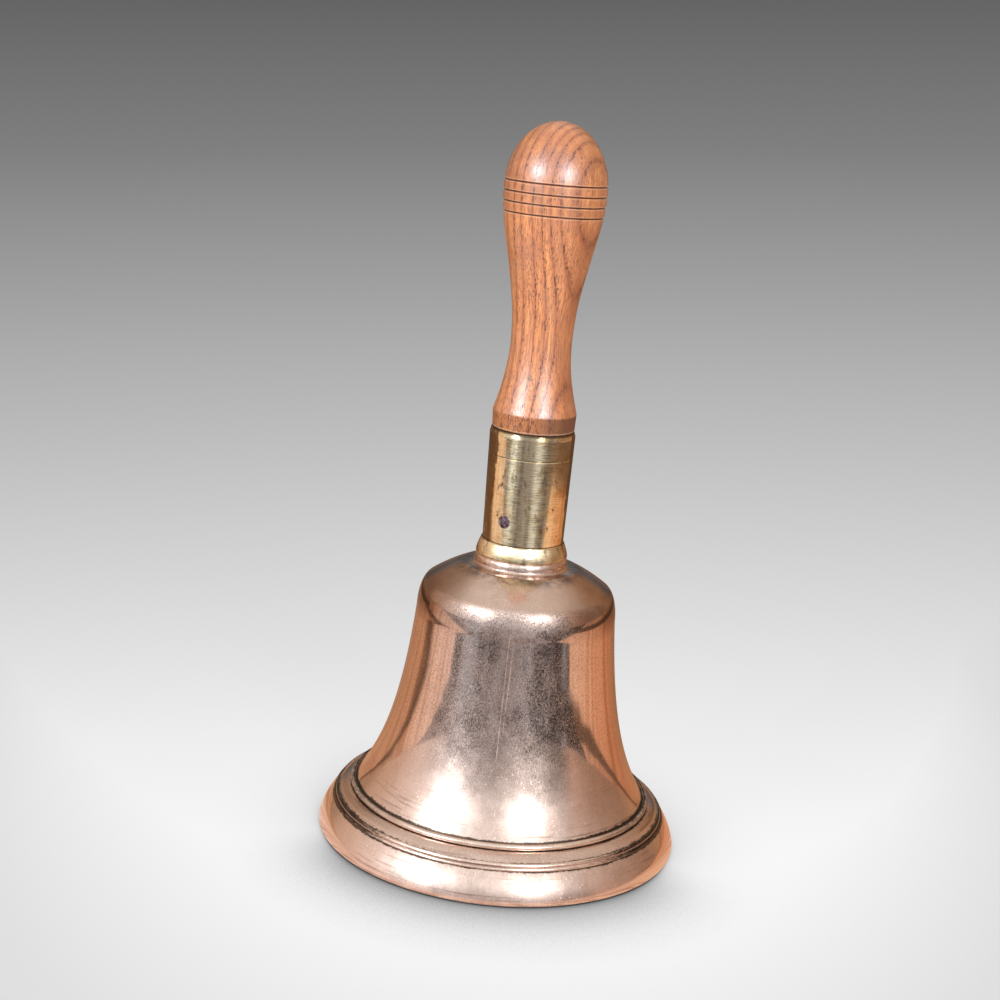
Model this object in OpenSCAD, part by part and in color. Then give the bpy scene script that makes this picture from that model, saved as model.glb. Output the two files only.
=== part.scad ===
// Hand bell: a cast bell on a brass ferrule with a turned wooden handle,
// and an iron clapper that swings on a pin under the crown.
// Millimetres. The origin is the centre of the mouth, and +Z runs up the handle.

/* [Bell casting] */
// Outside diameter at the mouth
mouth_d = 152; // [138:1:166]
// Height of the boss on the crown, where the ferrule stands
boss_top_h = 122.6; // [116:0.2:134]
// Outside diameter of the waist, just under the shoulder
waist_d = 83.1; // [76:0.1:90]
// Depth of the shoulder, boss and crown together
crown_drop = 25.5; // [23:0.5:29]
// Thickness of the casting at the waist
waist_wall = 3.2; // [2.4:0.1:4]
// Thickness of the casting where the flare meets the mouldings
skirt_wall = 4.6; // [3.8:0.1:5.6]
// Thickness of the crown at the bolt hole
crown_wall = 10.1; // [9:0.1:12]
// Width of the flat land that the bell stands on
land_w = 2; // [1.5:0.1:3]

/* [Bell shoulder and crown] */
// Width of the shoulder's rounded corner
shoulder_w = 4.5; // [4:0.1:5.5]
// Height of the shoulder's rounded corner
shoulder_h = 12.9; // [11:0.1:14.5]
// Diameter of the boss that the ferrule stands on
boss_d = 38.6; // [38:0.1:41]
// Height of the boss
boss_h = 3.3; // [2.6:0.1:4]
// Diameter where the crown turns up into the boss
crown_fillet_d = 47; // [44:0.5:52]
// Height of that fillet
crown_fillet_h = 1.5; // [1:0.1:2]
// Rise of the crown's curve above a straight cone
crown_bulge = 0.6; // [0:0.1:1]

/* [Bell mouldings] */
// Height of the lip face, up to the lower moulding
lip_h = 12.6; // [11:0.1:13.5]
// How far the lip face draws in from the mouth to that moulding
lip_draw = 5.7; // [5:0.1:7]
// Fullness of the lip face
lip_bulge = 1; // [0.4:0.1:1.4]
// Radius of the lip's bottom edge
lip_edge = 0.8; // [0.4:0.1:1.2]
// Height of each thin reed of the lower moulding
reed_h = 1.3; // [1.1:0.1:1.4]
// How far each thin reed draws in
reed_draw = 1; // [0.8:0.1:1.2]
// How far each thin reed stands proud
reed_proud = 0.45; // [0.2:0.05:0.6]
// Radius of the bead at the top of the mouldings
bead_r = 1.3; // [1:0.05:1.5]
// Height of the bead's centre above the lip face
bead_rise = 6.45; // [6:0.05:7.5]
// How far the bead's centre draws in from the mouth
bead_draw = 13.7; // [12.5:0.05:14.5]
// Fullness of the band between the mouldings
band_bulge = 0.45; // [0:0.05:0.6]

/* [Ferrule] */
// Height of the ferrule
ferrule_h = 52.8; // [46:0.1:60]
// Outside diameter just above the foot band
ferrule_low_d = 33.5; // [33:0.1:35]
// Outside diameter near the top
ferrule_top_d = 35; // [34.4:0.1:36.5]
// Bore that takes the handle's tenon
ferrule_bore_d = 30.4; // [29:0.1:31]
// Thickness of the floor that the nut pulls on
ferrule_floor = 3; // [2.4:0.1:4]
// Outside diameter of the foot band
foot_d = 38; // [37:0.1:40]
// Height of the foot band
foot_h = 6; // [5:0.1:7]
// Radius of the foot's bottom edge
foot_edge = 0.5; // [0.3:0.1:0.8]
// Distance from the top rim down to the incised line
line_drop = 10.5; // [8:0.1:14]
// Width of the incised line
line_w = 0.7; // [0.4:0.1:1]
// Depth of the incised line
line_deep = 0.3; // [0.15:0.05:0.4]
// Radius of the rounded rim
rim_r = 0.7; // [0.4:0.1:0.9]

/* [Handle] */
// Height of the handle above the ferrule
handle_h = 122.9; // [110:0.1:135]
// Diameter of the base band where it sits on the rim
band_low_d = 33.6; // [33:0.1:34.4]
// Diameter of the sharp edge above the base band
band_top_d = 34.2; // [33.4:0.1:35]
// Height of the base band
band_h = 7.2; // [5.5:0.1:9]
// Small bevel under the base band
band_bevel = 0.5; // [0.3:0.1:0.8]
// Least diameter, at the neck
neck_d = 24.8; // [22:0.1:27]
// Height of the neck above the ferrule
neck_h = 36.6; // [33:0.1:41]
// Greatest diameter, at the knob
knob_d = 41.4; // [38:0.1:46]
// Height of the domed end above the greatest diameter
dome_h = 26; // [22:0.1:30]
// Number of turned lines round the knob
groove_n = 4; // [2:1:5]
// Spacing of the turned lines
groove_pitch = 4.07; // [3.5:0.01:4.5]
// Width of a turned line
groove_w = 0.8; // [0.5:0.1:1.2]
// Depth of a turned line
groove_deep = 0.6; // [0.3:0.1:0.9]
// How far the topmost line lies above the greatest diameter
groove_rise = 2.2; // [0:0.1:4]
// Diameter of the hollow in the tenon, round the nut
hollow_d = 20; // [19.5:0.1:22]

/* [Cross pin] */
// Diameter of the iron pin through ferrule and tenon
cross_pin_d = 5.4; // [4.6:0.1:6]
// Height of the pin above the ferrule's foot
cross_pin_rise = 16; // [15:0.1:20]
// Turn of the pin about the axis, from the front towards the left
cross_pin_turn = 29; // [0:1:60]

/* [Hanger, nut and washers] */
// Diameter of the hanger's bolt
bolt_d = 7.5; // [6:0.1:8]
// Thickness of the leather washer under the crown
leather_t = 2; // [1.5:0.1:3]
// Diameter of the leather washer
leather_d = 26; // [24:0.5:30]
// Diameter of the hanger's collar
collar_d = 20; // [19:0.5:23]
// Thickness of the hanger's collar
collar_t = 3; // [2.4:0.1:4]
// Distance from the collar's underside to the clapper pin
fork_drop = 13.5; // [12:0.1:16]
// Width of each fork arm, across the swing
arm_w = 11; // [10:0.1:13]
// Thickness of each fork arm
arm_t = 3; // [2.4:0.1:3.6]
// Diameter of the iron washer on the ferrule's floor
washer_d = 17; // [15:0.1:18.5]
// Thickness of the iron washer
washer_t = 1.2; // [1:0.1:1.6]
// Square nut, across the flats
nut_w = 12.6; // [12:0.1:13.2]
// Height of the nut
nut_h = 5; // [4.5:0.1:5.2]
// Length of bolt past the nut
bolt_past = 1.2; // [0.6:0.1:1.4]

/* [Clapper] */
// Diameter of the clapper pin
pin_d = 4; // [3.4:0.1:4.6]
// Diameter of the pin's riveted heads
pin_head_d = 6.8; // [6:0.1:8]
// Thickness of the pin's riveted heads
pin_head_t = 1.3; // [1:0.1:2]
// Outside diameter of the clapper's eye
eye_d = 10.4; // [9.4:0.1:11.4]
// Thickness of the clapper's eye
eye_t = 5.8; // [5.6:0.1:6.6]
// Diameter of the clapper's rod
rod_d = 5.4; // [4.6:0.1:5.5]
// Diameter of the ball
ball_d = 25; // [22:0.5:27]
// Height of the ball's underside above the mouth
ball_lift = 3.4; // [2.6:0.1:6]
// Diameter of the riveted end under the ball
rivet_d = 8.4; // [7:0.1:10]
// Depth of the riveted end
rivet_h = 2; // [1.4:0.1:2.6]
// Diameter of the forged shoulder on top of the ball
stop_d = 8; // [7:0.1:9]
// Length of that shoulder
stop_h = 2.4; // [1.6:0.1:4]

/* [Clearances] */
// Radial clearance between the clapper pin and the eye
hinge_gap = 0.06; // [0.03:0.01:0.09]
// Clearance on each side of the eye, between the fork arms
side_gap = 0.3; // [0.2:0.05:0.5]
// Radial clearance of the bolt in its holes
bolt_gap = 0.25; // [0.1:0.05:0.4]
// Radial clearance of the tenon in the ferrule
tenon_gap = 0.05; // [0.02:0.01:0.1]
// Radial clearance of pins and rod in the pieces that they are driven into
drive_gap = 0.02; // [0.01:0.01:0.05]
// Clearance between the tenon's end and the ferrule's floor
end_gap = 0.4; // [0.2:0.1:0.6]
// Room between the bolt's tip and the top of the hollow
tip_gap = 1; // [0.6:0.1:1.4]

/* [Hidden] */
$fn = 96;
steps = 16;
// Overlap of a cutting tool past the face that it cuts
cut = 1;

// Heights, from the mouth up
mouth_r = mouth_d / 2;
seat_z = boss_top_h + ferrule_h;
shoulder_z = boss_top_h - crown_drop;
boss_foot_z = boss_top_h - boss_h;
ceiling_z = boss_top_h - crown_wall;
collar_top_z = ceiling_z - leather_t;
collar_low_z = collar_top_z - collar_t;
pivot_z = collar_low_z - fork_drop;
floor_z = boss_top_h + ferrule_floor;
nut_z = floor_z + washer_t;
bolt_tip_z = nut_z + nut_h + bolt_past;
hollow_top_z = bolt_tip_z + tip_gap;
cross_pin_z = boss_top_h + cross_pin_rise;
ball_z = ball_lift + ball_d / 2;
// Flats on the ball, as wide as the shoulder above it and the riveted end below it
stop_z = ball_z + sqrt((ball_d / 2) ^ 2 - (stop_d / 2) ^ 2);
rivet_z = ball_z - sqrt((ball_d / 2) ^ 2 - (rivet_d / 2) ^ 2);

// Widths shared by pieces that fit each other
fork_gap = eye_t + 2 * side_gap;
fork_w = fork_gap + 2 * arm_t;
tenon_d = ferrule_bore_d - 2 * tenon_gap;
bolt_hole_d = bolt_d + 2 * bolt_gap;

// Lip and mouldings, as [radius, height]
lip_top = [mouth_r - lip_draw, lip_h];
reed_step = [-reed_draw, reed_h];
bead = [mouth_r - bead_draw, lip_h + bead_rise];
// The bead runs round from the band below it to the flare above it
bead_low_turn = -60;
bead_top_turn = 138;
// Direction in which the band between the mouldings bulges
band_out = [1, 1.6];
// The flare ends just behind the bead's upper edge
skirt = bead + bead_r * [-1.05, 1.1];

// Direction of the flare where it meets the bead, up the bell and out of it
flare_turn = 34.6;
flare_dir = [-sin(flare_turn), cos(flare_turn)];
flare_out = [cos(flare_turn), sin(flare_turn)];
// Reach of the flare's curve from its two ends, and its lean at the waist
low_reach = 20.5;
top_reach = 33.7;
waist_lean = 0.077;
// Reach of the hollow's curve towards the lip
lip_reach = 9;
// Flat of the ceiling past the leather washer, and the curve that leaves it
ceiling_land = 6;
ceiling_reach = [12, -3];
corner_reach = 0.6;

// Curve of the foot band, as widths past the foot and past the ferrule
foot_waist = 0.5;
foot_shelf = 0.45;
foot_step = 0.3;

// Shape of the grip's curves, as shares of the rise that each one spans
band_reach = [-0.084, 0.3];
neck_low_reach = 0.41;
neck_top_reach = 0.39;
knob_reach = 0.31;

function bez2(a, b, c, t) = a * (1 - t) ^ 2 + b * 2 * t * (1 - t) + c * t ^ 2;
function bez3(a, b, c, d, t) =
    a * (1 - t) ^ 3 + b * 3 * t * (1 - t) ^ 2 + c * 3 * t ^ 2 * (1 - t) + d * t ^ 3;

// Points of a curve, without its first point
function curve2(a, b, c, n = steps) = [for (i = [1:n]) bez2(a, b, c, i / n)];
function curve3(a, b, c, d, n = steps) = [for (i = [1:n]) bez3(a, b, c, d, i / n)];

// Points on an ellipse round c, from angle a to angle b
function arc(c, rx, rz, a, b, n = steps) =
    [for (i = [0:n]) let (w = a + (b - a) * i / n) c + [rx * cos(w), rz * sin(w)]];

// A half-round reed that stands proud of the line from a to b
function reed(a, b, proud, n = 8) =
    let (d = b - a, out = [d[1], -d[0]] / norm(d))
    [for (i = [1:n]) a + d * (1 - cos(180 * i / n)) / 2 + out * proud * sin(180 * i / n)];

// The curve of the flare, from the bead up to the waist
function flare(low, top) = curve3(
    low, low + flare_dir * low_reach,
    top + [waist_lean * top_reach, -top_reach], top, 2 * steps);

function backwards(p) = [for (i = [len(p) - 1:-1:0]) p[i]];

module lathe(points) {
    rotate_extrude() polygon(points);
}

// Outline of the lip and mouldings, from the land up to the bead
function lip_points() =
    let (reed_1 = lip_top + reed_step, reed_2 = reed_1 + reed_step)
    let (bead_round = arc(bead, bead_r, bead_r, bead_low_turn, bead_top_turn, 12))
    let (band_crown = (reed_2 + bead_round[0]) / 2 + band_bulge * band_out)
    concat(
        arc([mouth_r - lip_edge, lip_edge], lip_edge, lip_edge, -90, 0, 6),
        curve2([mouth_r, lip_edge],
               [(mouth_r + lip_top[0]) / 2 + 2 * lip_bulge, lip_h / 2], lip_top, 10),
        reed(lip_top, reed_1, reed_proud),
        reed(reed_1, reed_2, reed_proud),
        curve2(reed_2, band_crown, bead_round[0], 8),
        [for (i = [1:len(bead_round) - 1]) bead_round[i]]);

// Outline of the shoulder and crown, from just above the waist to the boss
function crown_points() =
    let (turn_r = waist_d / 2 - shoulder_w)
    let (fillet_z = boss_foot_z - crown_fillet_h)
    let (slope = atan2(fillet_z - shoulder_z - shoulder_h, turn_r - crown_fillet_d / 2))
    let (last = atan2(shoulder_h, shoulder_w * tan(slope)))
    let (corner = arc([turn_r, shoulder_z], shoulder_w, shoulder_h, 0, last))
    let (a = corner[steps], b = [crown_fillet_d / 2, fillet_z])
    concat(
        [for (i = [1:steps]) corner[i]],
        curve2(a, (a + b) / 2 + [0, 2 * crown_bulge], b, 8),
        curve2(b, [boss_d / 2, fillet_z], [boss_d / 2, boss_foot_z], 6));

// Outline of the hollow, from the ceiling down to the land
function hollow_points() =
    let (top = [waist_d / 2 - waist_wall, shoulder_z])
    let (low = skirt - flare_out * skirt_wall)
    let (ceiling_edge = [leather_d / 2 + ceiling_land, ceiling_z])
    concat(
        backwards(curve3(top, top + [0, corner_reach * (ceiling_z - shoulder_z)],
                         ceiling_edge + ceiling_reach, ceiling_edge)),
        backwards(flare(low, top)),
        [low],
        curve2(low, low - flare_dir * lip_reach, [mouth_r - lip_edge - land_w, 0], 8));

module bell() {
    top = [waist_d / 2, shoulder_z];
    color("rosybrown")
    lathe(concat(
        lip_points(),
        [skirt],
        flare(skirt, top),
        crown_points(),
        [[boss_d / 2, boss_top_h], [bolt_hole_d / 2, boss_top_h], [bolt_hole_d / 2, ceiling_z]],
        hollow_points()));
}

// Outside of the ferrule, from its foot up to its rim
function ferrule_points() =
    let (rim_out = ferrule_top_d / 2 - rim_r / 2, line_z = seat_z - line_drop)
    let (low = [ferrule_low_d / 2, boss_top_h + foot_h + foot_step])
    let (high = [ferrule_top_d / 2, seat_z - 3 * rim_r])
    let (lean = (high[0] - low[0]) / (high[1] - low[1]))
    let (line_r = low[0] + lean * (line_z - low[1]))
    concat(
        arc([foot_d / 2 - foot_edge, boss_top_h + foot_edge], foot_edge, foot_edge, -90, 10, 6),
        curve2([foot_d / 2, boss_top_h + foot_edge],
               [foot_d / 2 - foot_waist, boss_top_h + foot_h / 2],
               [ferrule_low_d / 2 + foot_shelf, boss_top_h + foot_h], 8),
        [low,
         [line_r, line_z - line_w / 2],
         [line_r - line_deep, line_z],
         [line_r, line_z + line_w / 2],
         high],
        arc([rim_out - rim_r, seat_z - rim_r], rim_r, rim_r, 0, 90, 6));

module ferrule_body() {
    lathe(concat(
        ferrule_points(),
        [[ferrule_bore_d / 2, seat_z],
         [ferrule_bore_d / 2, floor_z],
         [bolt_hole_d / 2, floor_z],
         [bolt_hole_d / 2, boss_top_h]]));
}

// Places a piece on the axis of the cross pin, with its own Z along the pin
module on_cross_pin() {
    translate([0, 0, cross_pin_z]) rotate([90, 0, -cross_pin_turn]) children();
}

module ferrule() {
    color("goldenrod")
    difference() {
        ferrule_body();
        on_cross_pin() cylinder(d = cross_pin_d + 2 * drive_gap, h = 2 * foot_d, center = true);
    }
}

module ferrule_pin() {
    color("dimgray")
    intersection() {
        on_cross_pin() cylinder(d = cross_pin_d, h = 2 * foot_d, center = true);
        lathe(concat(
            ferrule_points(),
            [[0, seat_z], [0, boss_top_h]]));
    }
}

// Outline of the handle above the ferrule, from the base band to the top
function grip_points() =
    let (band = [band_top_d / 2, seat_z + band_h])
    let (neck = [neck_d / 2, seat_z + neck_h])
    let (knob = [knob_d / 2, seat_z + handle_h - dome_h])
    let (neck_rise = neck[1] - band[1], knob_rise = knob[1] - neck[1])
    concat(
        [[band_low_d / 2 - band_bevel, seat_z],
         [band_low_d / 2, seat_z + band_bevel],
         band],
        curve3(band, band + band_reach * neck_rise,
               neck - [0, neck_low_reach * neck_rise], neck),
        curve3(neck, neck + [0, neck_top_reach * knob_rise],
               knob - [0, knob_reach * knob_rise], knob, 2 * steps),
        [for (w = [6:6:84]) knob + [knob_d / 2 * (cos(w) - 1), dome_h * sin(w)]],
        [[0, seat_z + handle_h]]);

// Radius of the grip at height z, between the two outline points beside it
function grip_r(z) =
    let (p = grip_points())
    let (i = [for (k = [1:len(p) - 2]) if (p[k][1] <= z && z < p[k + 1][1]) k][0])
    p[i][0] + (p[i + 1][0] - p[i][0]) * (z - p[i][1]) / (p[i + 1][1] - p[i][1]);

// A turned line: a V with a narrow flat bottom, cut to its depth at height z
module groove(z) {
    r = grip_r(z);
    flat = groove_w / 10;
    spread = (groove_w / 2 - flat) * (groove_deep + cut) / groove_deep + flat;
    lathe([
        [r + cut, z - spread],
        [r - groove_deep, z - flat],
        [r - groove_deep, z + flat],
        [r + cut, z + spread]]);
}

module handle() {
    tenon_z = floor_z + end_gap;
    top_groove_z = seat_z + handle_h - dome_h + groove_rise;
    color("sienna")
    difference() {
        lathe(concat(
            [[hollow_d / 2, tenon_z], [tenon_d / 2, tenon_z], [tenon_d / 2, seat_z]],
            grip_points(),
            [[0, hollow_top_z], [hollow_d / 2, hollow_top_z]]));
        for (i = [0:groove_n - 1]) groove(top_groove_z - i * groove_pitch);
        on_cross_pin() cylinder(d = cross_pin_d + 2 * drive_gap, h = 2 * foot_d, center = true);
    }
}

module ring(d, hole_d, h, z) {
    translate([0, 0, z]) difference() {
        cylinder(d = d, h = h);
        translate([0, 0, -cut]) cylinder(d = hole_d, h = h + 2 * cut);
    }
}

module crown_washer() {
    color("saddlebrown") ring(leather_d, bolt_hole_d, leather_t, collar_top_z);
}

module nut_washer() {
    color("gray") ring(washer_d, bolt_hole_d, washer_t, floor_z);
}

module crown_nut() {
    color("darkslategray")
    translate([0, 0, nut_z]) difference() {
        translate([-nut_w / 2, -nut_w / 2, 0]) cube([nut_w, nut_w, nut_h]);
        translate([0, 0, -cut]) cylinder(d = bolt_d + 2 * drive_gap, h = nut_h + 2 * cut);
    }
}

// Places a piece at the clapper's hinge, with its own Z along the pin
module on_hinge() {
    translate([0, 0, pivot_z]) rotate([90, 0, 0]) children();
}

module fork_arm(side) {
    arm_y = side * (fork_gap + arm_t) / 2;
    translate([0, arm_y, 0]) {
        on_hinge() cylinder(d = arm_w, h = arm_t, center = true);
        translate([-arm_w / 2, -arm_t / 2, pivot_z])
            cube([arm_w, arm_t, collar_low_z + collar_t / 2 - pivot_z]);
    }
}

module clapper_hanger() {
    color("dimgray")
    difference() {
        union() {
            translate([0, 0, collar_low_z]) cylinder(d = collar_d, h = collar_t);
            translate([0, 0, collar_low_z])
                cylinder(d = bolt_d, h = bolt_tip_z - collar_low_z);
            for (side = [-1, 1]) fork_arm(side);
        }
        on_hinge() cylinder(d = pin_d + 2 * drive_gap, h = 2 * fork_w, center = true);
    }
}

module clapper_pin() {
    color("slategray")
    on_hinge() {
        cylinder(d = pin_d, h = fork_w, center = true);
        for (side = [-1, 1])
            translate([0, 0, side * (fork_w + pin_head_t) / 2])
                cylinder(d = pin_head_d, h = pin_head_t, center = true);
    }
}

module clapper_shank() {
    color("darkslategray")
    difference() {
        union() {
            on_hinge() cylinder(d = eye_d, h = eye_t, center = true);
            translate([0, 0, rivet_z - rivet_h]) {
                cylinder(d = rod_d, h = pivot_z - rivet_z + rivet_h);
                cylinder(d = rivet_d, h = rivet_h);
            }
            translate([0, 0, stop_z]) cylinder(d = stop_d, h = stop_h);
        }
        on_hinge() cylinder(d = pin_d + 2 * hinge_gap, h = 2 * eye_t, center = true);
    }
}

module clapper_ball() {
    color("black")
    difference() {
        translate([0, 0, ball_z]) sphere(d = ball_d);
        translate([0, 0, ball_lift - cut]) cylinder(d = rod_d + 2 * drive_gap, h = ball_d + 2 * cut);
        translate([0, 0, stop_z]) cylinder(d = ball_d, h = ball_d);
        translate([0, 0, rivet_z - ball_d]) cylinder(d = ball_d, h = ball_d);
    }
}

bell();
ferrule();
handle();
ferrule_pin();
crown_washer();
clapper_hanger();
nut_washer();
crown_nut();
clapper_pin();
clapper_shank();
clapper_ball();
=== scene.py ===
# %% [markdown]
# # A hand bell in Blender
# The object is a school or dinner bell: a flared casting in pinkish bell bronze, a turned brass
# ferrule and a wooden handle under worn varnish. An iron clapper hangs inside it.
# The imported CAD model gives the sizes, and this script follows them. It spins finer versions of
# the turned pieces, gives each piece its finish, and sets up the stage and the light.

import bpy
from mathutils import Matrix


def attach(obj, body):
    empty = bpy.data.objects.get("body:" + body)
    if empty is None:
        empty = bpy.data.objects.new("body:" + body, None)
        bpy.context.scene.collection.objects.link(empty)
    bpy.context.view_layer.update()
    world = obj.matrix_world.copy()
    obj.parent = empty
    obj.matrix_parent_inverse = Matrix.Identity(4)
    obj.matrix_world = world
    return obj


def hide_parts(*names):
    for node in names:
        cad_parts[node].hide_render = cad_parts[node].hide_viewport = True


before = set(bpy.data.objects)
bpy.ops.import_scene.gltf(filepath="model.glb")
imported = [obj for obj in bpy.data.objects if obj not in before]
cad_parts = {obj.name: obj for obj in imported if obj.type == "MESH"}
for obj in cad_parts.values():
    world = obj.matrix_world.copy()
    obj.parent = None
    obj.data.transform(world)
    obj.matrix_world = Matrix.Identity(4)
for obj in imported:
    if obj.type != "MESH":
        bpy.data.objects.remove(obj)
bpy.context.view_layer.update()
print("nodes:", sorted(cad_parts))

# %% Modules
import math
from functools import partial

import bmesh
import bpy
import numpy as np
from mathutils import Matrix, Vector, noise

print("Blender", bpy.app.version_string)

# %% [markdown]
# ## Sizes
# The bell's sizes are in millimetres, because that is how a turner or founder thinks of them.
# Blender works in metres here, so one value turns one into the other. Camera, lamps, floor and
# boards stand further off, so their distances stay in metres.

# %% Sizes shared by the turned pieces
MM = 0.001
MOUTH_R = 76.0
WAIST_R = 41.55
SHOULDER_Z = 97.1
BOSS_Z = 122.6
SEAT_Z = 175.4
TOP_Z = 298.3

# %% [markdown]
# ## Camera
# The picture was taken from a little above, with a long lens about 0.7 m away, and the camera
# was rolled, so that the bell leans to the right. The rings of the bell gave these angles.

# %% Camera
CAMERA_BACK = 0.698
CAMERA_UP = 0.3144
LENS = 62.777
SENSOR = 36
MIDDLE = Vector((0, 0, 0.15))
TURN, DOWN, ROLL = (math.radians(angle) for angle in (0.887, 13.717, 5.2))


def put(name, data):
    """A new object in the scene."""
    made = bpy.data.objects.new(name, data)
    bpy.context.scene.collection.objects.link(made)
    return made


camera = put("camera", bpy.data.cameras.new("camera"))
camera.data.lens = LENS
camera.data.sensor_width = SENSOR
camera.matrix_world = (
    Matrix.Translation((0, -CAMERA_BACK, CAMERA_UP))
    @ Matrix.Rotation(TURN, 4, "Z")
    @ Matrix.Rotation(math.pi / 2 - DOWN, 4, "X")
    @ Matrix.Rotation(ROLL, 4, "Z")
)
bpy.context.scene.camera = camera
bpy.context.scene.view_settings.view_transform = "Standard"
print("camera", round(math.dist(camera.location, MIDDLE), 3), "m from the middle of the bell")

# %% [markdown]
# ## Helpers for finishes
# People read colours as sRGB hex values, and the renderer needs linear ones, so one function
# turns them. A texture's scale is how many of its features fit in a metre, so it is worked out
# from the size of one feature in millimetres.

# %% Colours and scales
def colour(hex_code):
    """The linear RGBA of an sRGB hex colour."""
    parts = [int(hex_code[i : i + 2], 16) / 255 for i in (1, 3, 5)]
    return [p / 12.92 if p <= 0.04045 else ((p + 0.055) / 1.055) ** 2.4 for p in parts] + [1.0]


def per(size):
    """Texture scale at which one feature is this many millimetres wide."""
    return 1 / (size * MM)


print("one feature of 2 mm has scale", per(2))

# %% [markdown]
# A shader in Blender is a tree of nodes. One small function adds a node with its settings and
# links. Its inputs are a list, in the order in which the node shows them, or a dict by name, and
# the node's main mode may follow its kind, as in "Math ADD".

# %% Adding nodes
MODES = {
    "Math": "operation", "VectorMath": "operation",
    "Mix": "data_type", "MapRange": "interpolation_type",
}


def give(tree, socket, value):
    """Gives an input a value, a hex colour, or the output of another node."""
    if isinstance(value, str):
        value = colour(value)
    if isinstance(value, bpy.types.Node):
        value = next(output for output in value.outputs if output.enabled)
    if isinstance(value, bpy.types.NodeSocket):
        tree.links.new(value, socket)
    else:
        socket.default_value = value


def add_node(tree, kind, inputs=(), stops=(), curve=(), **settings):
    """Adds one node to a tree. Stops are for a colour ramp, and a curve is a list of points."""
    kind, _, mode = kind.partition(" ")
    made = tree.nodes.new("ShaderNode" + kind)
    if mode:
        settings[MODES[kind]] = mode
    for name, value in settings.items():
        setattr(made, name, value)
    if not isinstance(inputs, dict):
        shown = [i for i, socket in enumerate(made.inputs) if socket.enabled]
        inputs = dict(zip(shown, inputs))
    for name, value in inputs.items():
        give(tree, made.inputs[name], value)
    for i, (spot, shade) in enumerate(stops):
        row = made.color_ramp.elements
        stop = row[i] if i < len(row) else row.new(spot)
        stop.position = spot
        stop.color = colour(shade)
    for i, (x, y) in enumerate(curve):
        line = made.mapping.curves[0].points
        point = line[i] if i < len(line) else line.new(x, y)
        point.location = (x, y)
    if curve:
        made.mapping.update()
    return made


print("kinds with a mode:", sorted(MODES))

# %% [markdown]
# Every finish starts in the same way: with an empty tree, and with the place on the object. In
# metres the place drives the textures, and its x, y and z in millimetres say where coats lie.

# %% Starting a finish
def new_finish(name):
    """A material, the function that adds its nodes, the place in m, and its x, y, z in mm."""
    made = bpy.data.materials.new(name)
    made.use_nodes = True
    made.node_tree.nodes.clear()
    add = partial(add_node, made.node_tree)
    place = add("TexCoord").outputs["Object"]
    in_mm = add("VectorMath SCALE", [place, 1 / MM])
    return made, add, place, add("SeparateXYZ", [in_mm]).outputs


def faded(add, share, value, *ends):
    """A share that fades with a value: by default from 0 at one end to all of it at the other."""
    return add("Math MULTIPLY", [share, add("MapRange", [value, *ends])])


def painted(add, base, coats):
    """A base colour under coats. Each coat is a share, from 0 to 1, and a colour."""
    for share, shade in coats:
        base = add("Mix RGBA", [share, base, shade])
    return base


print("materials so far:", len(bpy.data.materials))

# %% [markdown]
# ## Stage
# The bell stands on a pale floor in front of a graded backdrop: white at the foot, mid grey at
# the horizon. Painting both with one gradient, by the angle at which a spot is seen from the
# camera's place, makes the join invisible and keeps the gradient level although the camera is
# rolled. A pool of light lies round the bell.

# %% Gradient shared by floor and backdrop
BACKDROP_LOW, BACKDROP_HIGH = -0.5, 1.0
BACKDROP = [
    (-0.45, "#FCFCFC"), (-0.36, "#EEEEEE"), (-0.28, "#D8D8D8"), (-0.20, "#BEBEBE"), (-0.12, "#A1A1A1"),
    (-0.04, "#7F7F7F"), (0.04, "#646464"), (0.25, "#747474"), (0.50, "#A8A8A8"), (1.00, "#B0B0B0"),
]
picture_right = camera.matrix_world.col[0].xyz
level_up = (Vector((0, 0, 1)) - picture_right * picture_right.z).normalized()


def ramp(add, value, low, high, stops):
    """A colour by a value, whose stops are given at the value's own numbers."""
    share = add("MapRange", [value, low, high])
    return add("ValToRGB", [share], stops=[((s - low) / (high - low), shade) for s, shade in stops])


def backdrop_shade(add, toward):
    """The backdrop's grey in a direction from the camera's place."""
    rise = add("VectorMath DOT_PRODUCT", [toward, level_up])
    return ramp(add, rise, BACKDROP_LOW, BACKDROP_HIGH, BACKDROP)


print("the gradient's level direction:", [round(c, 3) for c in level_up])

# %% [markdown]
# Floor, room and boards need two more things: whether a ray comes straight from the camera or a
# mirror, and the compass direction of a spot as seen from the bell.

# %% Sight and direction
def seen_directly(add):
    """1 for the camera, polished metal and glass, and 0 for ordinary light."""
    sight = add("LightPath").outputs
    seen = add("Math ADD", [sight["Is Camera Ray"], sight["Is Glossy Ray"]])
    return add("Math ADD", [seen, sight["Is Transmission Ray"]], use_clamp=True)


def facing(add, toward):
    """Degrees round the bell from the front: negative to the left, and 180 behind."""
    x, y, _ = add("SeparateXYZ", [toward]).outputs
    front = add("Math MULTIPLY", [y, -1])
    turn = add("Math ARCTAN2", [x, front])
    return add("Math MULTIPLY", [turn, math.degrees(1)])


def by_degrees(add, degrees, stops):
    """A colour by direction, with its stops in degrees."""
    return ramp(add, degrees, stops[0][0], stops[-1][0], stops)


print("one turn is", round(2 * math.pi * math.degrees(1)), "degrees")

# %% [markdown]
# ## Floor
# The floor shows its own colour to the camera and to polished metal. Near the bell it is mixed
# with a little ordinary light, which keeps the bell's soft shadow.

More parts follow.
